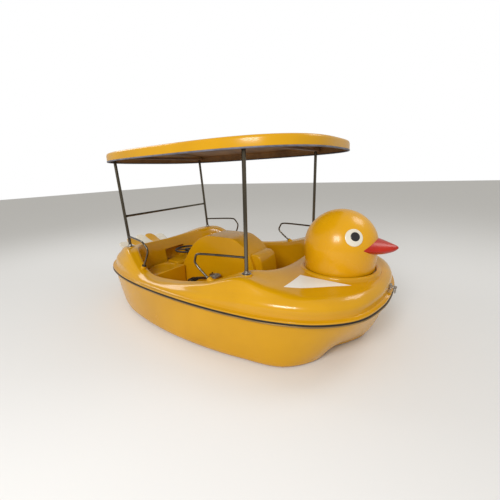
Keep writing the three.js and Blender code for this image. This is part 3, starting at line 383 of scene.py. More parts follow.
@dataclass(frozen=True)
class Galvanised(Finish):
    """Hot-dip zinc with its spangle of crystals."""

    def base_colour(
        self, tree: bpy.types.NodeTree, where: bpy.types.NodeSocket
    ) -> bpy.types.NodeSocket:
        """Crystal cells, each a slightly different grey.

        Args:
            tree: The material's node tree.
            where: The coordinates that patterns read.

        Returns:
            A colour socket.
        """
        cells = add_node(
            tree, "ShaderNodeTexVoronoi", {"Scale": 1000 / self.patch_mm}, {"Vector": where}
        )
        tone = add_node(
            tree, "ShaderNodeSeparateColor", None, {"Color": cells.outputs["Color"]}
        )
        return self.mixed(tree, tone.outputs[0], linear(self.shade), linear(self.colour))


@dataclass(frozen=True)
class Chopped(Finish):
    """The rough back of a laminate, where the chopped strands show."""

    def relief(
        self, tree: bpy.types.NodeTree, where: bpy.types.NodeSocket
    ) -> bpy.types.NodeSocket:
        """Strand-like ridges between cells.

        Args:
            tree: The material's node tree.
            where: The coordinates that patterns read.

        Returns:
            The height, as a socket.
        """
        cells = add_node(
            tree,
            "ShaderNodeTexVoronoi",
            {"Scale": 1000 / self.grain_mm, "feature": "DISTANCE_TO_EDGE"},
            {"Vector": where},
        )
        return cells.outputs["Distance"]


@dataclass(frozen=True)
class Tread(Gelcoat):
    """Gelcoat with a moulded non-slip pattern of small diamonds."""

    def relief(
        self, tree: bpy.types.NodeTree, where: bpy.types.NodeSocket
    ) -> bpy.types.NodeSocket:
        """A raised pip in each square of a turned chequer.

        Args:
            tree: The material's node tree.
            where: The coordinates that patterns read.

        Returns:
            The height, as a socket.
        """
        cells = add_node(
            tree,
            "ShaderNodeTexVoronoi",
            {"Scale": 1000 / self.grain_mm, "Randomness": 0.0, "distance": "MANHATTAN"},
            {"Vector": where},
        )
        pip = add_node(
            tree,
            "ShaderNodeMapRange",
            {"From Min": 0.35, "From Max": 0.6, "To Min": 1.0, "To Max": 0.0},
            {"Value": cells.outputs["Distance"]},
        )
        return pip.outputs["Result"]


# Outline of the painted chest patch in plan, in millimetres, anticlockwise, on the port side.
CHEST_PATCH = ((878, 368), (1338, 350), (1175, 481), (980, 604), (872, 688))

# Pigmented polyester sprayed in a mould: a warm, even yellow with soft, wavy reflections.
YELLOW = Gelcoat(
    "Golden yellow gelcoat", "#D29A07", "#C99205", 0.24, "gelcoat_yellow", coat=0.12,
    specular=0.3, patch_mm=520, grain_mm=2.5, relief_mm=0.5,
)
# The same gelcoat, better polished: crisper highlights along the humps, and white at the chest.
DECK_YELLOW = Gelcoat(
    "Deck gelcoat with white chest patches", "#D29A07", "#C99205", 0.2, "gelcoat_yellow",
    coat=0.2, specular=0.35, patch_mm=520, grain_mm=2.5, relief_mm=0.5,
    patches=(CHEST_PATCH,), above=0.55,
)
# The same gelcoat made lighter on the head: painted light, as the head stands highest in the light;
# it sets the head off from the deck.
LIT_HEAD_YELLOW = Gelcoat(
    "Head gelcoat with painted light", "#DFA30A", "#D79B07", 0.26, "gelcoat_yellow", coat=0.15,
    specular=0.35, patch_mm=400, grain_mm=2.5, relief_mm=0.5,
)
# Gelcoat over a moulded tread, with a dull sparkle from the rows of pips; its darker, browner amber
# is painted shade of the cockpit under the roof.
SHADED_SOLE_AMBER = Tread(
    "Amber non-slip floor with painted shade", "#CC8A08", "#B87A06", 0.5, "sole_amber", specular=0.3,
    patch_mm=260, grain_mm=14, relief_mm=0.8,
)
# Bare resin and glass strands, matt; its dark brown is painted shade, so the underside of the roof
# stays dark.
SHADED_LINING = Chopped(
    "Bare back of the roof laminate with painted shade", "#8A6433", "#6B4A22", 0.75, "gelcoat_yellow",
    patch_mm=240, grain_mm=9, relief_mm=0.6,
)
# White gelcoat, a little aged: a creamy white with a soft shine.
WHITE = Gelcoat(
    "White gelcoat", "#E6E0D0", "#DAD3C1", 0.24, "white_gelcoat", coat=0.2, patch_mm=200,
    grain_mm=2.5, relief_mm=0.5,
)
# Red gelcoat, sun-dulled: deep colour under a broad, weak highlight.
RED = Gelcoat(
    "Red gelcoat", "#B9240F", "#A91C0A", 0.3, "red_gelcoat", coat=0.1, specular=0.35, patch_mm=120,
    grain_mm=2.5, relief_mm=0.5,
)
# Black gelcoat under a clear coat: small, sharp highlights that make the eye look wet.
BLACK_GLOSS = Gelcoat(
    "Black gelcoat", "#0E0E10", "#17171A", 0.2, "black_gelcoat", coat=0.5, patch_mm=80,
    grain_mm=2.5, relief_mm=0.3,
)
# Drawn and polished tube: long highlights down its length from its roughness; its dark colour and
# the dark bands streaked along it are painted reflection of dark surroundings.
STAINLESS_WITH_PAINTED_REFLECTION = Finish(
    "Polished stainless tube with painted reflection", "#6E675A", "#575146", 0.2, "stainless", metallic=1.0,
    patch_mm=60, grain_mm=1.6, relief_mm=0.02, stretch=(1.0, 1.0, 0.12),
)
# Cast and tumbled fittings: a softer, whiter metal than the tubes.
SATIN_STEEL = Finish(
    "Satin stainless fitting", "#A7A299", "#8C877F", 0.3, "stainless", metallic=1.0,
    patch_mm=30, grain_mm=0.9, relief_mm=0.03,
)
# Steel dipped in zinc: dull grey, broken into crystals that each have their own shade.
ZINC = Galvanised(
    "Galvanised steel", "#A9ADB0", "#7F8487", 0.5, "galvanised", metallic=0.85, patch_mm=14,
    grain_mm=3, relief_mm=0.08,
)
# Aluminium that has stood outdoors: a dull, warm metal line round the boat.
STRIP = Finish(
    "Weathered aluminium rub strip", "#A5854F", "#7E643C", 0.38, "rub_strip", metallic=0.6,
    patch_mm=90, grain_mm=1.5, relief_mm=0.04, stretch=(0.3, 0.3, 3.0),
)
# Extruded joint rubber: a matt, dark line between deck and hull.
GASKET_BLACK = Finish(
    "Black joint rubber", "#15120E", "#221D17", 0.72, "gasket_black", patch_mm=50, grain_mm=1.2,
    relief_mm=0.12,
)
# Extruded edge rubber: a bluish grey, softly shining line under the roof.
TRIM_GREY = Finish(
    "Slate grey edge rubber", "#6A6D7C", "#4C4E5C", 0.5, "grey_trim", patch_mm=90, grain_mm=1.4,
    relief_mm=0.08,
)
# Injection-moulded plastic with a fine grain: black with a broad, faint sheen.
BLACK_PLASTIC = Finish(
    "Black moulded plastic", "#161616", "#202020", 0.46, "black_plastic", patch_mm=60,
    grain_mm=0.8, relief_mm=0.06,
)
# The same plastic in grey: a plain, light block that is easy to tell from the black one.
GREY_PLASTIC = Finish(
    "Grey moulded plastic", "#8E8E89", "#797974", 0.5, "grey_plastic", patch_mm=40,
    grain_mm=0.8, relief_mm=0.06,
)
# Worn hard rubber: very matt, near black with paler patches.
KEEL_RUBBER = Finish(
    "Wear strip rubber", "#2C2924", "#3D3931", 0.85, "keel_rubber", patch_mm=70, grain_mm=2,
    relief_mm=0.25,
)
# Oiled softwood: brown streaks that run along the beam.
TIMBER = Finish(
    "Oiled timber beam", "#7A5632", "#573A1F", 0.62, "beam_wood", patch_mm=34, grain_mm=3,
    relief_mm=0.2, stretch=(1.0, 0.07, 1.0),
)
# Twisted wire: a broken, greyish glint along the line.
STEEL_CABLE = Finish(
    "Stranded steel cable", "#8D8D8A", "#5F5F5D", 0.45, "stainless", metallic=1.0, patch_mm=8,
    grain_mm=1.5, relief_mm=0.3,
)


# ---- Making meshes -------------------------------------------------------------------------


def set_shading(bm: bmesh.types.BMesh, limit: float) -> None:
    """Smooths every face and keeps the edges sharper than a limit crisp.

    Args:
        bm: The geometry.
        limit: The fold, in degrees, past which an edge stays crisp.
    """
    for face in bm.faces:
        face.smooth = True
    for edge in bm.edges:
        edge.smooth = edge.calc_face_angle(0.0) < math.radians(limit)


def finish_piece(
    bm: bmesh.types.BMesh,
    name: str,
    body: str,
    finishes: Sequence[Finish],
    replaces: Sequence[str] = (),
    sharp: float = 38.0,
    recalculate: bool = True,
) -> bpy.types.Object:
    """Turns a bmesh into a named object that rides on a body.

    Args:
        bm: The finished geometry, which is freed.
        name: The piece's name.
        body: The CAD body that it moves with.
        finishes: Finishes by material index.
        replaces: The CAD nodes that it stands for.
        sharp: Edges that fold more than this many degrees stay crisp.
        recalculate: Whether to turn the faces outwards first.

    Returns:
        The new object.
    """
    if recalculate:
        bmesh.ops.recalc_face_normals(bm, faces=bm.faces)
    set_shading(bm, sharp)
    mesh = bpy.data.meshes.new(name)
    bm.to_mesh(mesh)
    bm.free()
    for finish in finishes:
        mesh.materials.append(finish.make())
    piece = bpy.data.objects.new(name, mesh)
    bpy.context.scene.collection.objects.link(piece)
    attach(piece, body)
    if replaces:
        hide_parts(*replaces)
    LOG.info("made %s: %d faces", name, len(mesh.polygons))
    return piece


def loft(
    bm: bmesh.types.BMesh, loops: Sequence[Loop], first: bool = False, last: bool = False
) -> None:
    """Skins closed loops of equal length one after another, by extruding the loop before.

    Args:
        bm: Where the skin is made.
        loops: The loops in order.
        first: Whether to close the first loop with a face.
        last: Whether to close the last loop with a face.
    """
    place = bm.verts.layers.int.get("place") or bm.verts.layers.int.new("place")
    verts = bmesh.ops.create_circle(bm, segments=len(loops[0]), radius=1.0)["verts"]
    for i, vert in enumerate(verts):
        vert[place] = i
        vert.co = loops[0][i]
    edges = list({edge for vert in verts for edge in vert.link_edges})
    if first:
        bmesh.ops.contextual_create(bm, geom=edges)
    for loop in loops[1:]:
        made = bmesh.ops.extrude_edge_only(bm, edges=edges)["geom"]
        verts = {item for item in made if isinstance(item, bmesh.types.BMVert)}
        edges = [
            item for item in made
            if isinstance(item, bmesh.types.BMEdge) and set(item.verts) <= verts
        ]
        for vert in verts:
            vert.co = loop[vert[place]]
    if last:
        bmesh.ops.contextual_create(bm, geom=edges)


def round_edges(
    bm: bmesh.types.BMesh, radius: float, segments: int = 3, over: float = 30.0
) -> None:
    """Bevels every sharp edge.

    Args:
        bm: The geometry.
        radius: Width of the bevel in metres.
        segments: Flats in the bevel.
        over: The fold, in degrees, past which an edge is bevelled.
    """
    folds = [e for e in bm.edges if e.calc_face_angle(0.0) > math.radians(over)]
    bmesh.ops.bevel(
        bm, geom=folds, offset=radius, segments=segments, affect="EDGES", profile=0.5,
        material=-1, clamp_overlap=True,
    )


def add_rod(
    bm: bmesh.types.BMesh, start: Vector, end: Vector, radius: float, sides: int = 32,
    end_radius: float | None = None,
) -> None:
    """A capped round bar or cone between two points.

    Args:
        bm: Where it is made.
        start: Centre of the first end.
        end: Centre of the second end.
        radius: Radius at the first end.
        sides: Number of flats round it.
        end_radius: Radius at the second end, or None for the same.
    """
    along = end - start
    turn = along.to_track_quat("Z", "Y").to_matrix().to_4x4()
    place = Matrix.Translation((start + end) / 2) @ turn
    bmesh.ops.create_cone(
        bm, cap_ends=True, segments=sides, radius1=radius,
        radius2=radius if end_radius is None else end_radius, depth=along.length, matrix=place,
    )


def add_dome(bm: bmesh.types.BMesh, at: Vector, along: Vector, radius: float) -> None:
    """A low round head, as on a rivet or a screw.

    Args:
        bm: Where it is made.
        at: The middle of its foot.
        along: The way it faces.
        radius: Its radius in metres.
    """
    turn = along.to_track_quat("Z", "Y").to_matrix().to_4x4()
    place = Matrix.Translation(at) @ turn @ Matrix.Diagonal((1, 1, 0.45, 1))
    bmesh.ops.create_uvsphere(bm, u_segments=12, v_segments=6, radius=radius, matrix=place)


def spin_profile(
    bm: bmesh.types.BMesh, profile: Sequence[tuple[float, float]], place: Matrix, steps: int = 64
) -> None:
    """Turns a profile of (radius, height) pairs about its own Z, then sets it in place.

    Args:
        bm: Where it is made.
        profile: The profile in metres.
        place: The turned piece's pose.
        steps: Steps in the full turn.
    """
    verts = [bm.verts.new((r, 0, z)) for r, z in profile]
    edges = [bm.edges.new(pair) for pair in zip(verts, verts[1:])]
    before = set(bm.verts) - set(verts)
    bmesh.ops.spin(
        bm, geom=verts + edges, cent=(0, 0, 0), axis=(0, 0, 1), angle=2 * math.pi, steps=steps,
        use_merge=True,
    )
    made = [v for v in bm.verts if v not in before]
    bmesh.ops.remove_doubles(bm, verts=made, dist=1e-6)
    on_axis = [e for e in bm.edges if not e.link_faces]
    bmesh.ops.delete(bm, geom=on_axis, context="EDGES")
    bmesh.ops.transform(bm, matrix=place, verts=[v for v in bm.verts if v not in before])


def pose_at(point: Vector, along: Vector) -> Matrix:
    """A pose whose Z runs along a direction."""
    return Matrix.Translation(point) @ along.to_track_quat("Z", "Y").to_matrix().to_4x4()


def sweep(bm: bmesh.types.BMesh, path: Sequence[Vector], radius: float, sides: int = 20) -> None:
    """A tube along a path, closed at both ends.

    Args:
        bm: Where it is made.
        path: The centre line.
        radius: The tube's radius.
        sides: Number of flats round it.
    """
    loops = []
    for i, point in enumerate(path):
        along = path[min(i + 1, len(path) - 1)] - path[max(i - 1, 0)]
        across = along.cross(Vector((0, 1, 0.01))).normalized()
        other = along.cross(across).normalized()
        angles = [2 * math.pi * k / sides for k in range(sides)]
        loops.append(
            [point + radius * (across * math.cos(a) + other * math.sin(a)) for a in angles]
        )
    loft(bm, loops, first=True, last=True)


def catmull(points: Sequence[Vector], count: int, closed: bool) -> Loop:
    """Evenly stepped points on a centripetal spline through the given ones.

    Args:
        points: The points that the curve passes.
        count: How many points come back.
        closed: Whether the curve runs back to its start.

    Returns:
        The stepped points.
    """
    n = len(points)
    spans = n if closed else n - 1
    out = []
    for i in range(count):
        place = i / (count if closed else count - 1) * spans
        k = min(int(place), spans - 1)
        t = place - k
        p1, p2 = points[k], points[(k + 1) % n]
        p0 = points[(k - 1) % n] if closed or k else p1 * 2 - p2
        p3 = points[(k + 2) % n] if closed or k + 2 < n else p2 * 2 - p1
        d0, d1, d2 = [max(1e-6, (b - a).length) ** 0.5 for a, b in ((p0, p1), (p1, p2), (p2, p3))]
        m1 = ((p1 - p0) / d0 - (p2 - p0) / (d0 + d1) + (p2 - p1) / d1) * d1
        m2 = ((p2 - p1) / d1 - (p3 - p1) / (d1 + d2) + (p3 - p2) / d2) * d1
        out.append(
            p1 * (2 * t**3 - 3 * t**2 + 1) + m1 * (t**3 - 2 * t**2 + t)
            + p2 * (3 * t**2 - 2 * t**3) + m2 * (t**3 - t**2)
        )
    return out


def inset(loop: Loop, distance: float, level: float | None = None) -> Loop:
    """A loop drawn in by a distance in plan.

    Args:
        loop: An anticlockwise loop.
        distance: How far it is drawn in, in metres.
        level: The height it is set to, or None to keep its own.

    Returns:
        The new loop.
    """
    out = []
    for i, p in enumerate(loop):
        along = (loop[(i + 1) % len(loop)] - loop[i - 1]).xy.normalized()
        z = p.z if level is None else level
        out.append(Vector((p.x - along.y * distance, p.y + along.x * distance, z)))
    return out


def blend(a: Loop, b: Loop, share: float) -> Loop:
    """A loop a share of the way between two."""
    return [p.lerp(q, share) for p, q in zip(a, b)]


def smooth_rows(rows: Sequence[Loop], steps: Sequence[int]) -> list[Loop]:
    """Puts curved rows between given ones.

    Args:
        rows: The given rows.
        steps: Steps between each row and the next; one leaves a straight flat there.

    Returns:
        All the rows in order.
    """
    out = [rows[0]]
    for k, count in enumerate(steps):
        for j in range(1, count + 1):
            t = j / count
            row = []
            for i in range(len(rows[0])):
                p1, p2 = rows[k][i], rows[k + 1][i]
                p0 = rows[k - 1][i] if k and steps[k - 1] > 1 else p1 * 2 - p2
                p3 = rows[k + 2][i] if k + 1 < len(steps) and steps[k + 1] > 1 else p2 * 2 - p1
                reach = (p2 - p1).length
                m1 = (p2 - p0).normalized() * reach
                m2 = (p3 - p1).normalized() * reach
                row.append(
                    p1 * (2 * t**3 - 3 * t**2 + 1) + m1 * (t**3 - 2 * t**2 + t)
                    + p2 * (3 * t**2 - 2 * t**3) + m2 * (t**3 - t**2)
                )
            out.append(row)
    return out


def boolean(bm: bmesh.types.BMesh, tool: bmesh.types.BMesh, operation: str) -> bmesh.types.BMesh:
    """Cuts, joins or trims one closed shape with another.

    Args:
        bm: The shape that is worked, which is freed.
        tool: The other shape, which is freed.
        operation: DIFFERENCE, UNION or INTERSECT.

    Returns:
        The result as a new bmesh.
    """
    made = []
    for part in (bm, tool):
        bmesh.ops.recalc_face_normals(part, faces=part.faces)
        mesh = bpy.data.meshes.new("working shape")
        part.to_mesh(mesh)
        part.free()
        made.append(bpy.data.objects.new("working shape", mesh))
        bpy.context.scene.collection.objects.link(made[-1])
    cut = made[0].modifiers.new("cut", "BOOLEAN")
    cut.operation = operation
    cut.solver = "EXACT"
    cut.object = made[1]
    graph = bpy.context.evaluated_depsgraph_get()
    result = bmesh.new()
    result.from_mesh(made[0].evaluated_get(graph).to_mesh())
    for obj in made:
        mesh = obj.data
        bpy.data.objects.remove(obj)
        bpy.data.meshes.remove(mesh)
    bmesh.ops.remove_doubles(result, verts=result.verts, dist=1e-5)
    return result


def solid_box(low: Vector, high: Vector) -> bmesh.types.BMesh:
    """A box between two corners.

    Args:
        low: Its lowest corner.
        high: Its highest corner.

    Returns:
        The box.
    """
    bm = bmesh.new()
    place = Matrix.Translation((low + high) / 2) @ Matrix.Diagonal((*(high - low), 1))
    bmesh.ops.create_cube(bm, size=1.0, matrix=place)
    return bm


def solid_rod(start: Vector, end: Vector, radius: float) -> bmesh.types.BMesh:
    """A round bar as a shape of its own.

    Args:
        start: Centre of the first end.
        end: Centre of the second end.
        radius: Its radius in metres.

    Returns:
        The closed shape.
    """
    bm = bmesh.new()
    add_rod(bm, start, end, radius, 48)
    return bm


def solid_prism(loop: Loop, low: float, high: float) -> bmesh.types.BMesh:
    """A plan loop raised between two levels.

    Args:
        loop: The outline.
        low: The lower level in metres.
        high: The upper level.

    Returns:
        The closed shape.
    """
    bm = bmesh.new()
    rows = [[Vector((p.x, p.y, z)) for p in loop] for z in (low, high)]
    loft(bm, rows, first=True, last=True)
    return bm


def merge(bm: bmesh.types.BMesh, other: bmesh.types.BMesh) -> None:
    """Puts a copy of another shape into a bmesh.

    Args:
        bm: The shape that grows.
        other: The shape that is copied and freed.
    """
    mesh = bpy.data.meshes.new("working shape")
    other.to_mesh(mesh)
    other.free()
    bm.from_mesh(mesh)
    bpy.data.meshes.remove(mesh)


def refine(
    node: str, body: str, finish: Finish, bevel: float = 0.0008, sharp: float = 40.0
) -> bpy.types.Object:
    """Carries a small fitting over from the frame with eased edges and its own finish.

    Args:
        node: The CAD node.
        body: The body that it rides on.
        finish: Its finish.
        bevel: Width of the eased edges.
        sharp: Edges that fold more than this stay crisp before the bevel.

    Returns:
        The new piece.
    """
    bm = bmesh.new()
    bm.from_mesh(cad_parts[node].data)
    bmesh.ops.remove_doubles(bm, verts=bm.verts, dist=2e-6)
    bmesh.ops.dissolve_limit(
        bm, angle_limit=math.radians(1), verts=bm.verts, edges=bm.edges
    )
    piece = finish_piece(bm, node + "_finished", body, [finish], [node], sharp, False)
    edge = piece.modifiers.new("Eased edges", "BEVEL")
    edge.width = bevel
    edge.segments = 2
    edge.limit_method = "ANGLE"
    edge.angle_limit = math.radians(sharp)
    edge.use_clamp_overlap = True
    return piece


# ---- Lines of the boat ---------------------------------------------------------------------


@dataclass
class Lines:
    """The boat's lines: stations from bow to stern, and the loops that run round her."""

    around: int = 168
    gunwale_plan: tuple = (
        (1550, 0), (1524, 300), (1420, 590), (1200, 795), (900, 915), (560, 972), (220, 995),
        (-215, 995), (-650, 962), (-1060, 886), (-1420, 742), (-1640, 520), (-1700, 0),
    )
    shoulder_line: tuple = (
        (1525, 0, 556), (1498, 290, 556), (1392, 570, 556), (1174, 770, 556), (884, 880, 556),
        (558, 925, 556), (222, 950, 520), (-215, 948, 500), (-650, 916, 502), (-1046, 835, 566),
        (-1385, 700, 566), (-1590, 488, 540), (-1645, 0, 535),
    )
    crown_line: tuple = (
        (1425, 0, 612), (1400, 250, 612), (1300, 480, 612), (1085, 680, 612), (830, 795, 640),
        (556, 836, 690), (226, 872, 600), (-215, 882, 526), (-650, 862, 530), (-1020, 770, 705),
        (-1265, 640, 695), (-1420, 400, 630), (-1470, 0, 606),
    )
    lip_line: tuple = (
        (690, 0, 638), (688, 90, 638), (680, 200, 640), (655, 330, 646), (600, 470, 662),
        (500, 605, 690), (228, 745, 600), (-215, 792, 530), (-650, 768, 534), (-955, 668, 701),
        (-1110, 530, 705), (-1160, 290, 690), (-1170, 0, 680),
    )
    foot_plan: tuple = (
        (640, 0), (638, 85), (628, 185), (600, 300), (545, 420), (450, 550), (215, 690),
        (-215, 745), (-640, 722), (-900, 630), (-1035, 500), (-1085, 270), (-1092, 0),
    )
    bulges: tuple = (26, 26, 26, 24, 10, -6, 0, 3, 3, -4, 8, 8, 8)
    bottom_plan: tuple = (
        (1375, 0), (1290, 205), (1192, 352), (1128, 600), (935, 812), (580, 897), (220, 940),
        (-215, 948), (-650, 908), (-1060, 820), (-1335, 692), (-1490, 500), (-1540, 0),
    )
    hull_top: float = 455
    deck_edge: float = 464.6
    floor: float = 200
    sole: float = 12

    def ring(self, half: Sequence[Sequence[float]]) -> Loop:
        """A closed loop through a port-side line and its mirror image.

        Args:
            half: Points on the port side, from bow to stern, in millimetres.

        Returns:
            The loop.
        """
        whole = [*half, *[(p[0], -p[1], *p[2:]) for p in half[-2:0:-1]]]
        points = [mm(p[0], p[1], p[2] if len(p) > 2 else 0) for p in whole]
        return catmull(points, self.around, True)

    def gunwale(self, inwards: float, level: float) -> Loop:
        """The gunwale outline, drawn in, at a level, all in millimetres."""
        return inset(self.ring(self.gunwale_plan), inwards / 1000, level / 1000)

    def foot(self, inwards: float, level: float) -> Loop:
        """The foot of the cockpit wall, drawn in, at a level, all in millimetres."""
        return inset(self.ring(self.foot_plan), inwards / 1000, level / 1000)

    def deck_rows(self) -> list[Loop]:
        """The deck's upper skin from its outer edge over the coaming down to the floor.

        Returns:
            Its rows in order.
        """
        shoulder, crown, lip = map(self.ring, (self.shoulder_line, self.crown_line, self.lip_line))
        haunch = self.ring(
            [
                tuple(a + (b - a) * 0.45 + (bulge if k == 2 else 0) for k, (a, b) in
                      enumerate(zip(s, c)))
                for s, c, bulge in zip(self.shoulder_line, self.crown_line, self.bulges)
            ]
        )
        wall_top = [p - Vector((0, 0, 0.014)) for p in lip]
        foot = self.foot(0, self.floor + 8)
        ledge = self.floor - self.sole - 0.3
        rows = [
            self.gunwale(0, self.deck_edge),
            self.gunwale(0, self.deck_edge + 12),
            self.gunwale(30, self.deck_edge + 16),
            shoulder,
            haunch,
            crown,
            blend(crown, lip, 0.5),
            inset(lip, -0.022),
            wall_top,
            blend(wall_top, foot, 0.5),
            foot,
            self.foot(2, ledge),
            self.foot(55, ledge),
        ]
        return smooth_rows(rows, (1, 2, 5, 5, 5, 5, 4, 3, 4, 4, 1, 1))

    def hull_rows(self, margin: float) -> list[Loop]:
        """The hull's sides from under the flange to the flat bottom, drawn in by a margin.

        Args:
            margin: How far they are drawn in, in millimetres.

        Returns:
            Their rows from the top down.
        """
        side, bilge = self.gunwale(22, 0), self.ring(self.bottom_plan)
        top, drop = 447, 404.7
        rows = [
            inset(blend(side, bilge, across), margin / 1000, (top - drop * down) / 1000)
            for across, down in ((0, 0), (0.22, 0.3), (0.5, 0.62), (0.8, 0.88), (1, 1))
        ]
        rows.append(inset(bilge, (margin + 14) / 1000, (15.3 + margin * 0.7) / 1000))
        rows.append(inset(bilge, (margin + 44) / 1000, (6.3 + margin) / 1000))
        return smooth_rows(rows, (3, 3, 3, 3, 2, 2))

    def band(self, section: Sequence[tuple[float, float]]) -> bmesh.types.BMesh:
        """A closed band round the gunwale from (inset, level) corners of its section.

        Args:
            section: The corners in millimetres.

        Returns:
            The closed shape.
        """
        bm = bmesh.new()
        loft(bm, [self.gunwale(*corner) for corner in (*section, section[0])])
        bmesh.ops.remove_doubles(bm, verts=bm.verts, dist=1e-6)
        bmesh.ops.recalc_face_normals(bm, faces=bm.faces)
        return bm


WELL_THROUGH = 495  # a level above the hull's cavity, so that the well is cut right through
WELL_ROOM = 457  # top of the room that the deck's parts leave for the well's walls
ROOM = 8  # how far that room stands off the tunnel's own sides


def laminate(bm: bmesh.types.BMesh) -> int:
    """Turns an open skin's faces outwards and thickens it inwards to the laminate.

    Args:
        bm: The skin.

    Returns:
        How many faces the outside has; the inside and the rims come after them.
    """
    bmesh.ops.recalc_face_normals(bm, faces=bm.faces)
    bm.normal_update()
    if max(bm.faces, key=lambda f: f.calc_center_median().z).normal.z < 0:
        bmesh.ops.reverse_faces(bm, faces=bm.faces)
    outside = len(bm.faces)
    bmesh.ops.solidify(bm, geom=bm.faces[:], thickness=LAMINATE)
    bm.faces.ensure_lookup_table()
    return outside


def tunnel(grow: float, well_top: float) -> list[bmesh.types.BMesh]:
    """The paddle tunnel, open at the stern, and the well above the wheel.

    Args:
        grow: How far its walls are moved out, in millimetres.
        well_top: The well's upper level.

    Returns:
        The two boxes that make it.
    """
    half, fore = 150 + grow, 90 + grow
    return [
        solid_box(mm(-1780, -half, -20), mm(fore, half, 360 + grow)),
        solid_box(mm(-660 - grow, -half, -30), mm(fore + 0.01, half + 0.01, well_top)),
    ]


def without_tunnel(bm: bmesh.types.BMesh, grow: float, well_top: float) -> bmesh.types.BMesh:
    """A shape with the tunnel and its well cut out of it.

    Args:
        bm: The shape, which is used up.
        grow: How far the tunnel's walls are moved out, in millimetres.
        well_top: The well's upper level.

    Returns:
        What is left.
    """
    for part in tunnel(grow, well_top):
        bm = boolean(bm, part, "DIFFERENCE")
    return bm


# ---- Hull and deck -------------------------------------------------------------------------


@dataclass
class Hull:
    """The lower moulding with its tunnel, and what is fixed along her bottom and stern."""

    lines: Lines
    shaft_bore: float = 0.0155
    bores: tuple = ((HELM_X, 0.017), (RUDDER_X, 0.015))
    strip_y: float = 560
    strip_half: float = 22
    strip_screws: int = 9
    screw_step: float = 235

    def build(self) -> None:
        """Builds the hull shell, wear strips and drain plugs."""
        outer = bmesh.new()
        top = [
            self.lines.gunwale(inwards, level)
            for inwards, level in ((0, self.lines.hull_top), (0, 447), (22, 446))
        ]
        loft(outer, [*top, *self.lines.hull_rows(0)[1:]], first=True, last=True)
        inner = bmesh.new()
        loft(
            inner, [self.lines.gunwale(28, 475), *self.lines.hull_rows(6)], first=True, last=True
        )
        inner = without_tunnel(inner, 6, WELL_THROUGH)
        shell = without_tunnel(boolean(outer, inner, "DIFFERENCE"), 0, WELL_THROUGH)
        ends = [mm(SHAFT_X, y, SHAFT_Z) for y in (-400, 400)]
        bore = solid_rod(*ends, self.shaft_bore)
        shell = boolean(shell, bore, "DIFFERENCE")
        for x, radius in self.bores:
            bore = solid_rod(mm(x, 0, 300), mm(x, 0, 500), radius)
            shell = boolean(shell, bore, "DIFFERENCE")
        finish_piece(shell, "hull_moulding", "hull", [YELLOW], ["hull_shell"])
        for name, side in SIDES:
            self.wear_strip(name, side)
            refine(f"drain_plug_{name}", "hull", SATIN_STEEL)
            refine(f"shaft_bearing_{name}", "hull", BLACK_PLASTIC)
        refine("rudder_bush", "hull", BLACK_PLASTIC)

    def wear_strip(self, name: str, side: int) -> None:
        """A rubber strip under a pontoon, with its countersunk screws.

        Args:
            name: Port or starboard.
            side: One to port and minus one to starboard.
        """
        y = side * self.strip_y
        bm = solid_box(mm(-1230, y - self.strip_half, 0), mm(880, y + self.strip_half, 6))
        round_edges(bm, 0.0022, 2)
        for i in range(self.strip_screws):
            add_dome(bm, mm(-1150 + i * self.screw_step, y, 3.4), Vector((0, 0, -1)), 0.0065)
        finish_piece(bm, f"wear_strip_{name}", "hull", [KEEL_RUBBER], [f"keel_strip_{name}"])


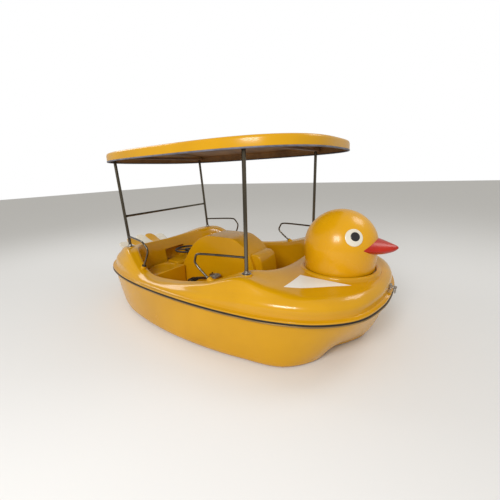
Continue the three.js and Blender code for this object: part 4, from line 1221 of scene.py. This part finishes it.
@dataclass
class Deck:
    """The upper moulding, its joint to the hull, and the floor."""

    lines: Lines
    niche: tuple = (165, 388, 556, -1262)
    collar_radius: float = 346
    bead: float = 0.022
    rivets: int = 62
    post_pad: tuple = (
        (0, 0), (0.05, 0), (0.048, 0.034), (0.0465, 0.038), (0.043, 0.04), (0, 0.04),
    )
    rail_pad: tuple = (
        (0, 0), (0.028, 0), (0.026, 0.058), (0.0245, 0.0635), (0.0215, 0.065), (0, 0.065),
    )

    def skin(self) -> bmesh.types.BMesh:
        """The laminate, with its collar, pads, tunnel opening and recess.

        Returns:
            The closed shape.
        """
        bm = bmesh.new()
        loft(bm, self.lines.deck_rows())
        laminate(bm)
        for raised in (self.collar(), *self.pads()):
            bm = boolean(bm, raised, "UNION")
        bm = boolean(bm, self.pocket(LAMINATE * 1000, -1121, -1152), "UNION")
        bm = boolean(bm, self.pocket(0, -1000, -1000), "DIFFERENCE")
        return without_tunnel(bm, ROOM, WELL_ROOM)

    def collar(self) -> bmesh.types.BMesh:
        """The rounded ridge moulded round the neck.

        Returns:
            The closed shape.
        """
        r = self.collar_radius / 1000
        bead = [
            (r - 0.016 + self.bead * math.cos(a), 0.626 + self.bead * math.sin(a))
            for a in (math.pi * k / 12 for k in range(12))
        ]
        foot = [(0.307, 0.626), (0.307, 0.585), (r + 0.02, 0.585), (r + 0.012, 0.61)]
        profile = [*bead, *foot, bead[0]]
        bm = bmesh.new()
        spin_profile(bm, profile, Matrix.Translation(mm(NECK_X, 0, 0)), 96)
        return bm

    def pads(self) -> list[bmesh.types.BMesh]:
        """The raised pads that the posts and the handrails stand on.

        Returns:
            The pads, post and rail by turns.
        """
        made = []
        for _, side in SIDES:
            for post in POSTS:
                top, low = post.at(side, post.pad), post.at(side, post.pad - 40)
                bm = bmesh.new()
                spin_profile(bm, self.post_pad, pose_at(low, top - low), 40)
                made.append(bm)
                bm = bmesh.new()
                foot, lean = post.rail_foot(side)
                base = foot - lean * 0.07
                spin_profile(bm, self.rail_pad, pose_at(base, lean), 36)
                made.append(bm)
        return made

    def pocket(self, wall: float, fore_low: float, fore_high: float) -> bmesh.types.BMesh:
        """The recess in the aft wall, grown by a wall in millimetres.

        Args:
            wall: How far it is grown.
            fore_low: Where its lower edge opens forward.
            fore_high: Where its upper edge opens forward.

        Returns:
            The closed shape.
        """
        half, bottom, top, aft = self.niche
        low = mm(aft - wall, -half - wall, bottom - wall)
        bm = solid_box(low, mm(fore_low, half + wall, top + wall))
        for vert in bm.verts:
            if vert.co.x > low.x + 0.01 and vert.co.z > low.z + 0.01:
                vert.co.x = mm(fore_high, 0, 0).x
        upright = [e for e in bm.edges if abs(e.verts[0].co.y - e.verts[1].co.y) < 1e-6]
        bmesh.ops.bevel(
            bm, geom=upright, offset=0.018, segments=4, affect="EDGES", profile=0.5, material=-1
        )
        return bm

    def build(self) -> None:
        """Builds the deck, the joint rubber, the riveted strip and the floor."""
        finish_piece(self.skin(), "deck_moulding", "hull", [DECK_YELLOW], ["deck_shell"])
        bm = self.lines.band(
            ((-2.4, 450), (-2.4, 463), (-1, 464.4), (17, 464.4), (17, 455.2), (-0.3, 455.2),
             (-0.3, 450))
        )
        finish_piece(bm, "joint_rubber", "hull", [GASKET_BLACK], ["gunwale_gasket"])
        bm = self.lines.band(
            ((-2, 439), (-4.5, 441), (-4.5, 447.7), (-2.5, 449.7), (-0.3, 449.7), (-0.3, 439))
        )
        line = self.lines.gunwale(-4.5, 444.4)
        steps = [line[int(i * len(line) / self.rivets)] for i in range(self.rivets)]
        ahead = [line[int(i * len(line) / self.rivets) - 1] for i in range(self.rivets)]
        for at, before in zip(steps, ahead):
            along = at - before
            add_dome(bm, at, Vector((along.y, -along.x, 0)), 0.0036)
        finish_piece(bm, "riveted_strip", "hull", [STRIP], ["rub_strip"])
        panel = solid_prism(self.lines.foot(4, 0), 0.188, 0.2)
        panel = without_tunnel(panel, ROOM, WELL_ROOM)
        # The floor's darker, browner amber is painted shade.
        finish_piece(panel, "floor_panel", "hull", [SHADED_SOLE_AMBER], ["cockpit_sole"])


# ---- Posts, rails and canopy ---------------------------------------------------------------


@dataclass(frozen=True)
class Post:
    """A pair of canopy posts with the handrails that branch from them."""

    end: str
    foot: tuple[float, float]
    top: tuple[float, float]
    pad: float
    bend: Point
    knee: Point
    rail_end: Point
    radius: float = 0.016
    level: float = 1690
    easing: int = 14  # rounds of averaging that turn the rail's corners into bends
    rail_radius: float = 0.01
    socket: tuple = (
        (0, 0.0003), (0.04, 0.0003), (0.0405, 0.002), (0.039, 0.004), (0.026, 0.006),
        (0.0225, 0.009), (0.021, 0.013), (0.021, 0.024), (0.0195, 0.026), (0.0163, 0.026),
        (0.0163, 0.005), (0, 0.005),
    )
    plate: tuple = (
        (0, -0.0047), (0.0222, -0.0047), (0.0222, -0.001), (0.021, 0.001),
        (0.0125, 0.0025), (0.0105, 0.006), (0, 0.006),
    )

    def at(self, side: int, z: float) -> Vector:
        """The point on the post's axis at a level.

        Args:
            side: One to port and minus one to starboard.
            z: The level in millimetres.

        Returns:
            The point.
        """
        share = (z - self.pad) / (self.level - self.pad)
        x = self.foot[0] + (self.top[0] - self.foot[0]) * share
        y = self.foot[1] + (self.top[1] - self.foot[1]) * share
        return mm(x, side * y, z)

    def rail_foot(self, side: int) -> tuple[Vector, Vector]:
        """The foot of the handrail and the direction up along its last straight.

        Args:
            side: One to port and minus one to starboard.

        Returns:
            The point and the direction.
        """
        foot = mm(self.rail_end[0], side * self.rail_end[1], self.rail_end[2])
        knee = mm(self.knee[0], side * self.knee[1], self.knee[2])
        return foot, (knee - foot).normalized()

    def rail_path(self, side: int) -> Loop:
        """The handrail's centre line from its post to its foot.

        Args:
            side: One to port and minus one to starboard.

        Returns:
            Points along it.
        """
        mirror = [mm(p[0], side * p[1], p[2]) for p in (self.bend, self.knee, self.rail_end)]
        bend, knee, foot = mirror
        start = self.at(side, 836)

        def toward(p: Vector, q: Vector, distance: float) -> Vector:
            """The point that lies a distance from p on the way to q."""
            return p + (q - p).normalized() * distance

        out = bend.lerp(knee, 0.62)
        reach = (foot - knee).length
        straight = toward(foot, knee, reach * 0.62)
        curves = (
            (bend, toward(bend, start, -0.058), out),
            (out, toward(foot, knee, reach + 0.026), straight),
        )
        path = [start.lerp(bend, k / 4) for k in range(4)]
        path[0] = toward(start, bend, self.radius)
        for a, b, c in curves:
            for k in range(12):
                t = k / 12
                path.append(a * (1 - t) ** 2 + b * (2 * t * (1 - t)) + c * t**2)
        path += [straight.lerp(foot, k / 6) for k in range(7)]
        for _ in range(self.easing):
            middle = [(a + 2 * b + c) / 4 for a, b, c in zip(path, path[1:], path[2:])]
            path = [path[0], *middle, path[-1]]
        return path

    def build(self) -> None:
        """Builds both posts with their feet, and both handrails."""
        for name, side in SIDES:
            low, high = self.at(side, self.pad + 5.5), self.at(side, self.level)
            bm = bmesh.new()
            add_rod(bm, low, high, self.radius, 48)
            bmesh.ops.bisect_plane(
                bm, geom=bm.verts[:] + bm.edges[:] + bm.faces[:], plane_co=(0, 0, 1.6899),
                plane_no=(0, 0, 1), clear_outer=True,
            )  # level with the top, so that the leaning tube ends flat
            bmesh.ops.holes_fill(bm, edges=bm.edges[:], sides=0)
            finish_piece(
                bm, f"post_{self.end}_{name}_tube", "hull", [STAINLESS_WITH_PAINTED_REFLECTION],
                [f"post_{self.end}_{name}"],
            )
            self.base(name, side, low, high)
            self.rail(name, side)

    def base(self, name: str, side: int, low: Vector, high: Vector) -> None:
        """The flanged socket with four dome-headed screws.

        Args:
            name: Port or starboard.
            side: One to port and minus one to starboard.
            low: Lower end of the post's axis.
            high: Its upper end.
        """
        foot = self.at(side, self.pad)
        bm = bmesh.new()
        place = pose_at(foot, high - low)
        spin_profile(bm, self.socket, place, 40)
        for quarter in range(4):
            turn = math.radians(45 + 90 * quarter)
            at = place @ Vector((0.032 * math.cos(turn), 0.032 * math.sin(turn), 0.0045))
            add_dome(bm, at, high - low, 0.0045)
        finish_piece(
            bm, f"post_foot_{self.end}_{name}", "hull", [SATIN_STEEL],
            [f"post_base_{self.end}_{name}"],
        )

    def rail(self, name: str, side: int) -> None:
        """The bent handrail with its welded foot plate.

        Args:
            name: Port or starboard.
            side: One to port and minus one to starboard.
        """
        bm = bmesh.new()
        sweep(bm, self.rail_path(side), self.rail_radius)
        foot, lean = self.rail_foot(side)
        place = pose_at(foot, lean)
        spin_profile(bm, self.plate, place, 32)
        for third in range(3):
            turn = 2 * math.pi * third / 3
            at = place @ Vector((0.0165 * math.cos(turn), 0.0165 * math.sin(turn), 0.001))
            add_dome(bm, at, lean, 0.003)
        finish_piece(
            bm, f"rail_{self.end}_{name}", "hull", [STAINLESS_WITH_PAINTED_REFLECTION], [f"handrail_{self.end}_{name}"]
        )


POSTS = (
    Post("front", (560, 713), (573, 699), 698, (122, 790, 834), (34, 784, 735), (192, 782, 616)),
    Post(
        "rear", (-1125, 657), (-1177, 651), 717, (-735, 772, 850), (-612, 778, 762),
        (-704, 794, 592),
    ),
)


@dataclass
class Canopy:
    """The moulded roof, its rubber edge, the beams inside it, and the bar between the posts."""

    middle_x: float = -220
    half_length: float = 1280
    half_width: float = 860
    edge: float = 1664
    fascia: float = 74
    crown: float = 44
    roundness: float = 2 / 3.2
    around: int = 144
    bar_level: float = 1067
    bar_radius: float = 0.0125
    socket_radius: float = 0.0155

    def ring(self, margin: float, level: float, share: float = 1.0) -> Loop:
        """A rounded oblong about the roof's middle, in millimetres.

        Args:
            margin: How far it is drawn in.
            level: Its level.
            share: How much of the full size is kept.

        Returns:
            The loop.
        """
        out = []
        for i in range(self.around):
            c, s = (f(2 * math.pi * i / self.around) for f in (math.cos, math.sin))
            x = math.copysign(abs(c) ** self.roundness, c) * (self.half_length - margin) * share
            y = math.copysign(abs(s) ** self.roundness, s) * (self.half_width - margin) * share
            out.append(mm(self.middle_x + x, y, level))
        return out

    def build(self) -> None:
        """Builds the roof and everything fixed to it."""
        self.roof()
        bm = bmesh.new()
        low, high = self.edge - 12.3, self.edge - 0.3
        section = ((-3, low + 2), (-3, high - 2), (-1, high), (9, high), (11, high - 2),
                   (11, low + 2), (9, low), (-1, low), (-3, low + 2))
        loft(bm, [self.ring(m, z) for m, z in section])
        bmesh.ops.remove_doubles(bm, verts=bm.verts, dist=1e-6)
        finish_piece(bm, "roof_edge_rubber", "hull", [TRIM_GREY], ["canopy_trim"], 50)
        for post, half in zip(POSTS, (781, 712)):
            x = post.top[0]
            bm = solid_box(mm(x - 28, -half, 1690.4), mm(x + 28, half, 1714.2))
            round_edges(bm, 0.004, 3)
            for _, side in SIDES:
                for dx in (-24, 24):
                    at = mm(x + dx * 0.7, side * (post.top[1] + 28), 1690.4)
                    add_dome(bm, at, Vector((0, 0, -1)), 0.006)
            finish_piece(
                bm, f"roof_beam_{post.end}", "hull", [TIMBER], [f"canopy_beam_{post.end}"]
            )
        a, b = (POSTS[1].at(side, self.bar_level) for _, side in SIDES)
        step = (a - b).normalized() * self.socket_radius
        bm = bmesh.new()
        add_rod(bm, a - step, b + step, self.bar_radius, 40)
        for end, way in ((a - step, step), (b + step, -step)):
            inner = end - way * 0.55
            add_rod(bm, end, inner, self.socket_radius, 40)
        finish_piece(bm, "cross_bar", "hull", [STAINLESS_WITH_PAINTED_REFLECTION], ["rear_crossbar"])

    def roof(self) -> None:
        """The laminate roof: a rolled fascia, a low crown and a bare underside, dark brown with
        painted shade.
        """
        eaves = self.edge + self.fascia
        rows = [
            self.ring(0, self.edge), self.ring(0.5, eaves - 26), self.ring(4, eaves - 12),
            self.ring(9, eaves - 4), self.ring(18, eaves + 1), self.ring(30, eaves + 3.2),
            self.ring(18, eaves + self.crown * 0.35, 0.86),
            self.ring(18, eaves + self.crown * 0.55, 0.74),
            self.ring(18, eaves + self.crown * 0.9, 0.38),
            self.ring(18, eaves + self.crown, 0.06),
        ]
        bm = bmesh.new()
        loft(bm, smooth_rows(rows, (1, 2, 2, 3, 2, 4, 3, 6, 5)), last=True)
        outside = laminate(bm)
        # The inside faces take the lining, whose dark brown is painted shade.
        for face in bm.faces[outside:]:
            face.material_index = 1
        finish_piece(bm, "roof_moulding", "hull", [YELLOW, SHADED_LINING], ["canopy_roof"])


# ---- Cockpit -------------------------------------------------------------------------------


@dataclass
class Housing:
    """A moulded cover over a side profile, open below, leaning in towards its top."""

    name: str
    node: str
    profile: tuple[tuple[float, float], ...]
    half: float
    top_half: float
    round: float
    finish: Finish
    curved: bool = False

    def outline(self) -> list[tuple[float, float]]:
        """The side profile, with its foot dropped below the floor.

        Returns:
            Pairs of x and z in millimetres.
        """
        points = [Vector((x, 0, z)) for x, z in self.profile]
        if self.curved:
            points = catmull(points, 61, False)
        return [(p.x, 80.0 if p.z < 205 else p.z) for p in points]

    def solid(self) -> bmesh.types.BMesh:
        """The housing's outside as a closed shape, rounded along its edges.

        Returns:
            The closed shape.
        """
        points = self.outline()
        highest = max(z for _, z in points)
        bm = bmesh.new()
        narrower = self.top_half - self.half
        port, starboard = (
            [
                mm(x, way * (self.half + narrower * (z - 200) / (highest - 200)), z)
                for x, z in points
            ]
            for way in (1, -1)
        )
        loft(bm, [port, starboard], first=True, last=True)
        bmesh.ops.recalc_face_normals(bm, faces=bm.faces)
        round_edges(bm, self.round / 1000, 5, 50)
        return bm

    def shell(self) -> bmesh.types.BMesh:
        """The outside trimmed at the floor and given its laminate.

        Returns:
            The closed shape.
        """
        bm = self.solid()
        bmesh.ops.bisect_plane(
            bm, geom=bm.verts[:] + bm.edges[:] + bm.faces[:], plane_co=(0, 0, 0.2003),
            plane_no=(0, 0, 1), clear_inner=True,
        )
        laminate(bm)
        return bm

    def finish_shell(self, bm: bmesh.types.BMesh) -> None:
        """Dresses the finished shell."""
        finish_piece(bm, self.name, "hull", [self.finish], [self.node])


@dataclass
class Cockpit:
    """The wheel cover, the two consoles and the four seats."""

    lines: Lines
    cover_profile: tuple = (
        (-852, 200.3), (-832, 320), (-735, 500), (-572, 706), (-400, 804), (-260, 817),
        (-100, 817), (10, 812), (100, 768), (195, 690), (250, 590), (285, 470), (300, 200.3),
    )
    front_profile: tuple = (
        (376, 200.3), (362, 470), (348, 590), (328, 640), (292, 664), (205, 664), (205, 200.3),
    )
    rear_profile: tuple = (
        (-862, 200.3), (-866, 408), (-888, 430), (-1060, 430), (-1072, 418), (-1072, 200.3),
    )
    cover_gap: float = 0.0015  # between the front console and the wheel cover
    shaft_bore: float = 0.0205
    column_bore: float = 0.019

    def build(self) -> None:
        """Builds each moulding in turn."""
        cover = Housing(
            "wheel_cover_moulding", "wheel_cover", self.cover_profile, 205, 175, 6, YELLOW, True
        )
        shell = without_tunnel(cover.shell(), ROOM, WELL_ROOM)
        ends = [mm(SHAFT_X, y, SHAFT_Z) for y in (-400, 400)]
        bore = solid_rod(*ends, self.shaft_bore)
        shell = boolean(shell, bore, "DIFFERENCE")
        cover.finish_shell(shell)
        front = Housing(
            "front_console_moulding", "front_console", self.front_profile, 150, 150, 14, YELLOW
        )
        clear = cover.solid()
        gap = Matrix.Translation((self.cover_gap, 0, self.cover_gap))
        bmesh.ops.transform(clear, matrix=gap, verts=clear.verts)
        front.finish_shell(boolean(front.shell(), clear, "DIFFERENCE"))
        rear = Housing(
            "rear_console_moulding", "rear_console", self.rear_profile, 205, 205, 12, YELLOW
        )
        shell = without_tunnel(rear.shell(), ROOM, WELL_ROOM)
        hole = solid_rod(mm(HELM_X, 0, 380), mm(HELM_X, 0, 480), self.column_bore)
        rear.finish_shell(boolean(shell, hole, "DIFFERENCE"))
        refine("column_bush", "hull", BLACK_PLASTIC)
        for name, side in SIDES:
            self.seat("rear", name, side, (-1066, -735), (213, 640), 424)
            self.seat("front", name, side, (392, 618), (172, 520), 400)

    def seat(
        self, end: str, name: str, side: int, reach: tuple[float, float],
        spread: tuple[float, float], top: float,
    ) -> None:
        """A hollow seat with a dished top, trimmed to the curve of the cockpit wall.

        Args:
            end: Front or rear.
            name: Port or starboard.
            side: One to port and minus one to starboard.
            reach: Aft and fore ends in millimetres.
            spread: Inner and outer sides in millimetres.
            top: Level of the top.
        """
        (aft, fore), ys = reach, sorted(side * y for y in spread)
        block = solid_box(mm(aft, ys[0], 200.3), mm(fore, ys[1], top))
        block = boolean(block, solid_prism(self.lines.foot(4, 0), 0.1, 0.9), "INTERSECT")
        rim = [
            e for e in block.edges
            if e.calc_face_angle(0) > 0.9 and max(v.co.z for v in e.verts) > 0.25
        ]
        bmesh.ops.bevel(
            block, geom=rim, offset=0.012, segments=4, affect="EDGES", profile=0.5, material=-1
        )
        dish = bmesh.new()
        size = ((fore - aft) * 0.00046, (ys[1] - ys[0]) * 0.00042, 0.022)
        place = Matrix.Translation(mm((aft + fore) / 2, sum(ys) / 2, top))
        bmesh.ops.create_uvsphere(
            dish, u_segments=48, v_segments=24, radius=1, matrix=place @ Matrix.Diagonal((*size, 1))
        )
        block = boolean(block, dish, "DIFFERENCE")
        hollow = solid_box(mm(aft + 6, ys[0] + 6, 190), mm(fore - 6, ys[1] - 6, top - 28))
        room = solid_prism(self.lines.foot(10, 0), 0.05, 0.95)
        block = boolean(block, boolean(hollow, room, "INTERSECT"), "DIFFERENCE")
        finish_piece(
            block, f"seat_{end}_{name}_moulding", "hull", [YELLOW], [f"{end}_seat_{name}"]
        )


# ---- Drive and steering --------------------------------------------------------------------


class PedalColour(Enum):
    """The two colours that the pedal blocks come in."""

    INNER = "inner"
    OUTER = "outer"

    def finish(self) -> Finish:
        """The plastic of this colour."""
        return GREY_PLASTIC if self is PedalColour.INNER else BLACK_PLASTIC


@dataclass
class Drive:
    """The paddle wheel on its shaft, the cranks, and the four pedals."""

    bars: tuple = (-3, -1, 0, 1, 3)  # places of the grip bars, counted from a tread's middle
    bar_step: float = 0.0115
    bar_half: tuple = (0.0018, 0.0012)
    bar_margin: float = 0.005  # from a bar's end to the side of the block

    def build(self) -> None:
        """Builds the wheel, the cranks and the pedals."""
        refine("paddle_wheel", "paddle", ZINC, 0.0006, 30)
        refine("pedal_crankshaft", "paddle", SATIN_STEEL, 0.0012, 30)
        for name, _ in SIDES:
            for colour in PedalColour:
                self.pedal(name, colour)

    def pedal(self, name: str, colour: PedalColour) -> None:
        """A pedal block with raised grip bars on both treads, seated in its own frame's box.

        Args:
            name: Port or starboard.
            colour: Which of the two pedals on that side.
        """
        node = f"pedal_{colour.value}_{name}"
        low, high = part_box(node)
        middle = (low + high) / 2
        bm = bmesh.new()
        bm.from_mesh(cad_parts[node].data)
        bmesh.ops.remove_doubles(bm, verts=bm.verts, dist=2e-6)
        half = (high - low) / 2
        for way in (-1, 1):
            for i in self.bars:
                corner = Vector((self.bar_half[0], half.y - self.bar_margin, self.bar_half[1]))
                bar = solid_box(-corner, corner)
                round_edges(bar, 0.0006, 1)
                at = middle + Vector((i * self.bar_step, 0, way * (half.z + 0.0006)))
                bmesh.ops.transform(bar, matrix=Matrix.Translation(at), verts=bar.verts)
                merge(bm, bar)
        piece = finish_piece(
            bm, f"{node}_block", node, [colour.finish()], [node], 35, False
        )
        edge = piece.modifiers.new("Eased edges", "BEVEL")
        edge.width, edge.segments = 0.0012, 2
        edge.limit_method, edge.angle_limit = "ANGLE", math.radians(40)


@dataclass
class Steering:
    """The wheel, column and drums, the cable, and the rudder that follows them."""

    centre: Point = (HELM_X, 0, 550)
    rim: float = 0.15
    wire: float = 0.012
    spokes: tuple = (90, 210, 330)
    hub: tuple = (
        (0, -0.022), (0.03, -0.022), (0.034, -0.016), (0.034, 0.006), (0.031, 0.0105),
        (0.02, 0.012), (0.019, 0.0105), (0, 0.0105),
    )

    def build(self) -> None:
        """Builds the wheel anew and carries the hidden gear over."""
        bm = bmesh.new()
        section = [
            (self.rim + self.wire * math.cos(a), self.wire * math.sin(a))
            for a in (2 * math.pi * k / 20 for k in range(21))
        ]
        place = Matrix.Translation(mm(*self.centre))
        spin_profile(bm, section, place, 72)
        for degrees in self.spokes:
            a = math.radians(degrees)
            out = Vector((math.cos(a), math.sin(a), 0))
            start = mm(*self.centre) - Vector((0, 0, 0.006)) + out * 0.02
            add_rod(bm, start, mm(*self.centre) + out * (self.rim - 0.004), 0.0095, 20, 0.0075)
        spin_profile(bm, self.hub, place, 48)
        finish_piece(bm, "hand_wheel", "steering", [BLACK_PLASTIC], ["steering_wheel"])
        refine("steering_column", "steering", STAINLESS_WITH_PAINTED_REFLECTION, 0.001)
        refine("helm_drum", "steering", BLACK_PLASTIC)
        refine("steering_cable", "hull", STEEL_CABLE, 0.0002, 60)
        refine("rudder_drum", "rudder", BLACK_PLASTIC)
        refine("rudder_stock", "rudder", SATIN_STEEL)
        refine("rudder_blade", "rudder", ZINC, 0.002, 30)


# ---- Duck ----------------------------------------------------------------------------------


@dataclass
class Duck:
    """The head with its beak and eyes, and the fan of tail feathers."""

    widest: float = 838
    radius: float = 317
    top: float = 1156
    eye_way: Point = (0.545, 0.735, 0.41)
    beak_sections: tuple = (
        (0, 206, 74, 858), (0.3, 160, 68, 853), (0.58, 112, 54, 850), (0.8, 66, 37, 852),
        (0.93, 36, 22, 857), (1, 9, 7, 861),
    )
    feather_line: tuple = (
        (0, 560, 0.78, 1), (0.25, 536, 0.9, 1), (0.48, 544, 1, 1), (0.7, 576, 1.02, 0.95),
        (0.86, 608, 0.9, 0.85), (0.95, 626, 0.62, 0.65), (1, 634, 0.24, 0.35),
    )

    def head_profile(self, grow: float) -> list[tuple[float, float]]:
        """Radius and height pairs of the head from its foot to its crown, in metres.

        Args:
            grow: How far the head is grown, in millimetres.

        Returns:
            The pairs.
        """
        neck = [(303, 640.3), (304, 660), (306.5, 690), (310, 730), (314, 780)]
        dome = [
            (
                self.radius * math.cos(a),
                self.widest + (self.top - self.widest) * math.sin(a),
            )
            for a in (math.pi / 2 * k / 28 for k in range(28))
        ]
        pairs = [*neck, *dome]
        return [
            ((r + grow * r / self.radius) / 1000, (z + grow * max(0, z - self.widest) / 318) / 1000)
            for r, z in pairs
        ] + [(0, (self.top + grow) / 1000)]

    def build(self) -> None:
        """Builds the head, beak, eyes and tail."""
        place = Matrix.Translation(mm(NECK_X, 0, 0))
        outside, inside = self.head_profile(0), self.head_profile(-6)
        bm = bmesh.new()
        spin_profile(bm, [*outside, *inside[::-1], outside[0]], place, 112)
        # The head's lighter gelcoat is painted light.
        finish_piece(bm, "head_moulding", "hull", [LIT_HEAD_YELLOW], ["duck_head"])
        self.beak(place)
        for name, side in SIDES:
            self.eye(name, side)
        self.tail()

    def beak(self, place: Matrix) -> None:
        """The flat beak, a lens in section with crisp sides.

        Args:
            place: The head's own place.
        """
        rows = []
        for share, wide, tall, z in self.beak_sections:
            row = []
            for i in range(40):
                c, s = math.cos(math.pi * i / 20), math.sin(math.pi * i / 20)
                lift = math.copysign(abs(c) ** 1.35, c) * tall * (0.85 if c < 0 else 1)
                row.append(mm(1335 + 226 * share, wide * s, z + lift))
            rows.append(row)
        bm = bmesh.new()
        loft(bm, smooth_rows(rows, (6, 6, 5, 4, 3)), first=True, last=True)
        head = bmesh.new()
        profile = self.head_profile(0.3)
        spin_profile(head, [(0, profile[0][1]), *profile], place, 112)
        bm = boolean(bm, head, "DIFFERENCE")
        finish_piece(bm, "beak_moulding", "hull", [RED], ["beak"], 50)

    def eye(self, name: str, side: int) -> None:
        """The white disc and the black pupil, each a cap of the head's own curve.

        Args:
            name: Port or starboard.
            side: One to port and minus one to starboard.
        """
        for what, finish, node, half, back, front, lead in (
            ("eye_disc", WHITE, "eye_white", 0.071, 0.0005, 0.005, 0.0),
            ("eye_pupil", BLACK_GLOSS, "pupil", 0.037, 0.0053, 0.009, 0.03),
        ):
            x, y, z = self.eye_way
            way = Vector((x + lead, side * y, z + lead)).normalized()
            base = self.radius / 1000

            def cap(radius: float, out: float) -> float:
                """Height of the head's curve over its own middle at a radius."""
                return math.sqrt((base + out) ** 2 - radius**2)

            rim = half - 0.0025
            front_face = [(rim * k / 10, cap(rim * k / 10, front)) for k in range(11)]
            edge = [(half - 0.0007, cap(half, front) - 0.001), (half, cap(half, front - 0.002))]
            back_face = [(half * k / 6, cap(half * k / 6, back)) for k in range(6, -1, -1)]
            bm = bmesh.new()
            centre = pose_at(mm(NECK_X, 0, self.widest), way)
            spin_profile(bm, [*front_face, *edge, *back_face], centre, 56)
            finish_piece(bm, f"{what}_{name}", "hull", [finish], [f"{node}_{name}"])

    def feather(self, place: float) -> bmesh.types.BMesh:
        """One upswept feather; place counts from the middle one.

        Args:
            place: Zero for the middle feather, counted to port.

        Returns:
            The closed shape.
        """
        rows = []
        reach = -1960 + 16 * place**2 + 1560
        for share, level, wide, thick in self.feather_line:
            y = place * 156 * (0.72 + 0.28 * share)
            z = level - 9 * place**2 * share
            row = []
            for i in range(32):
                c, s = math.cos(math.pi * i / 16), math.sin(math.pi * i / 16)
                row.append(
                    mm(
                        -1560 + reach * share,
                        y + math.copysign(abs(s) ** 0.6, s) * 88 * wide,
                        z + math.copysign(abs(c) ** 0.8, c) * 21 * thick,
                    )
                )
            rows.append(row)
        bm = bmesh.new()
        loft(bm, smooth_rows(rows, (4, 4, 4, 4, 3, 3)), first=True, last=True)
        return bm

    def tail(self) -> None:
        """The fan, white and yellow by turns."""
        for name, finish, places in (
            ("white_tail_feathers", WHITE, (-2, 0, 2)),
            ("yellow_tail_feathers", YELLOW, (-1, 1)),
        ):
            bm = bmesh.new()
            for place in places:
                merge(bm, self.feather(place))
            finish_piece(bm, name, "hull", [finish], ["duck_tail"], 45)


@dataclass
class Mooring:
    """The lug and the ring at the bow."""

    hole: Point = (1572, 0, 522)
    radius: float = 0.026
    wire: float = 0.004

    def build(self) -> None:
        """Builds the ring, and carries the lug over."""
        section = [
            (self.radius + self.wire * math.cos(a), self.wire * math.sin(a))
            for a in (2 * math.pi * k / 16 for k in range(17))
        ]
        centre = mm(*self.hole) - Vector((0, 0, self.radius))
        bm = bmesh.new()
        place = Matrix.Translation(centre) @ Matrix.Rotation(math.pi / 2, 4, "Y")
        spin_profile(bm, section, place, 48)
        finish_piece(bm, "bow_ring", "mooring_ring", [SATIN_STEEL], ["mooring_ring"])
        refine("mooring_eye", "hull", SATIN_STEEL, 0.0012)


# ---- Studio --------------------------------------------------------------------------------


@dataclass
class Studio:
    """A pale floor, soft lights and the camera."""

    place: Point = (1.9769, -2.4212, 1.4927)
    yaw: float = 124.753
    pitch: float = -15.766
    roll: float = -2.314
    lens: float = 19.8
    floor_drop: float = 0.002
    world_strength: float = 0.62
    aim: Point = (0.1, 0, 0.6)
    lamps: tuple = (
        ("key", (1.6, -5.2, 3.9), 1.8, 200),
        ("fill", (3.6, 2.6, 5.0), 2.0, 60),
        ("back", (-4.6, -0.6, 4.6), 2.0, 60),
    )  # name, place, size in metres and power in watts

    def build(self) -> None:
        """Builds the floor, the lights and the camera."""
        bm = bmesh.new()
        bmesh.ops.create_grid(bm, x_segments=1, y_segments=1, size=30)
        mesh = bpy.data.meshes.new("studio_floor")
        bm.to_mesh(mesh)
        bm.free()
        floor = bpy.data.objects.new("studio_floor", mesh)
        bpy.context.scene.collection.objects.link(floor)
        floor.location.z = -self.floor_drop
        # Matt paint: a pale grey floor that shows a soft shadow and a little of the boat's yellow.
        paint = bpy.data.materials.new("Matt white studio floor")
        paint.use_nodes = True
        shader = paint.node_tree.nodes["Principled BSDF"]
        shader.inputs["Base Color"].default_value = linear("#E6E6E6")
        shader.inputs["Roughness"].default_value = 0.9
        mesh.materials.append(paint)
        world = bpy.data.worlds.new("Studio light")
        world.use_nodes = True
        tree = world.node_tree
        backdrop = add_node(tree, "ShaderNodeBackground", {"Color": linear("#FFFFFF")})
        path = add_node(tree, "ShaderNodeLightPath")
        tree.nodes["Background"].inputs["Color"].default_value = linear("#F4F1EA")
        tree.nodes["Background"].inputs["Strength"].default_value = self.world_strength
        seen = add_node(
            tree,
            "ShaderNodeMixShader",
            None,
            {
                0: path.outputs["Is Camera Ray"],
                1: tree.nodes["Background"].outputs[0],
                2: backdrop.outputs[0],
            },
        )
        tree.links.new(seen.outputs[0], tree.nodes["World Output"].inputs["Surface"])
        bpy.context.scene.world = world
        for name, at, size, power in self.lamps:
            lamp = bpy.data.lights.new(name, "AREA")
            lamp.size, lamp.energy = size, power
            light = bpy.data.objects.new(name, lamp)
            light.location = at
            aim = Vector(self.aim) - Vector(at)
            light.rotation_euler = aim.to_track_quat("-Z", "Y").to_euler()
            bpy.context.scene.collection.objects.link(light)
        self.camera()

    def camera(self) -> None:
        """Sets the camera by its yaw, pitch and roll."""
        yaw, pitch, roll = map(math.radians, (self.yaw, self.pitch, self.roll))
        ahead = Vector(
            (math.cos(pitch) * math.cos(yaw), math.cos(pitch) * math.sin(yaw), math.sin(pitch))
        )
        right = ahead.cross(Vector((0, 0, 1))).normalized()
        up = right.cross(ahead)
        across = right * math.cos(roll) + up * math.sin(roll)
        upward = up * math.cos(roll) - right * math.sin(roll)
        turn = Matrix((across, upward, -ahead)).transposed().to_4x4()
        data = bpy.data.cameras.new("camera")
        data.sensor_width, data.lens = 36, self.lens
        camera = bpy.data.objects.new("camera", data)
        camera.matrix_world = Matrix.Translation(self.place) @ turn
        bpy.context.scene.collection.objects.link(camera)
        bpy.context.scene.camera = camera
        bpy.context.scene.view_settings.view_transform = "Standard"


def main() -> None:
    """Builds the boat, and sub-assembly by sub-assembly."""
    lines = Lines()
    for part in (
        Hull(lines), Deck(lines), *POSTS, Canopy(), Cockpit(lines), Drive(), Steering(), Duck(),
        Mooring(), Studio(),
    ):
        part.build()


if __name__ == "__main__":
    main()
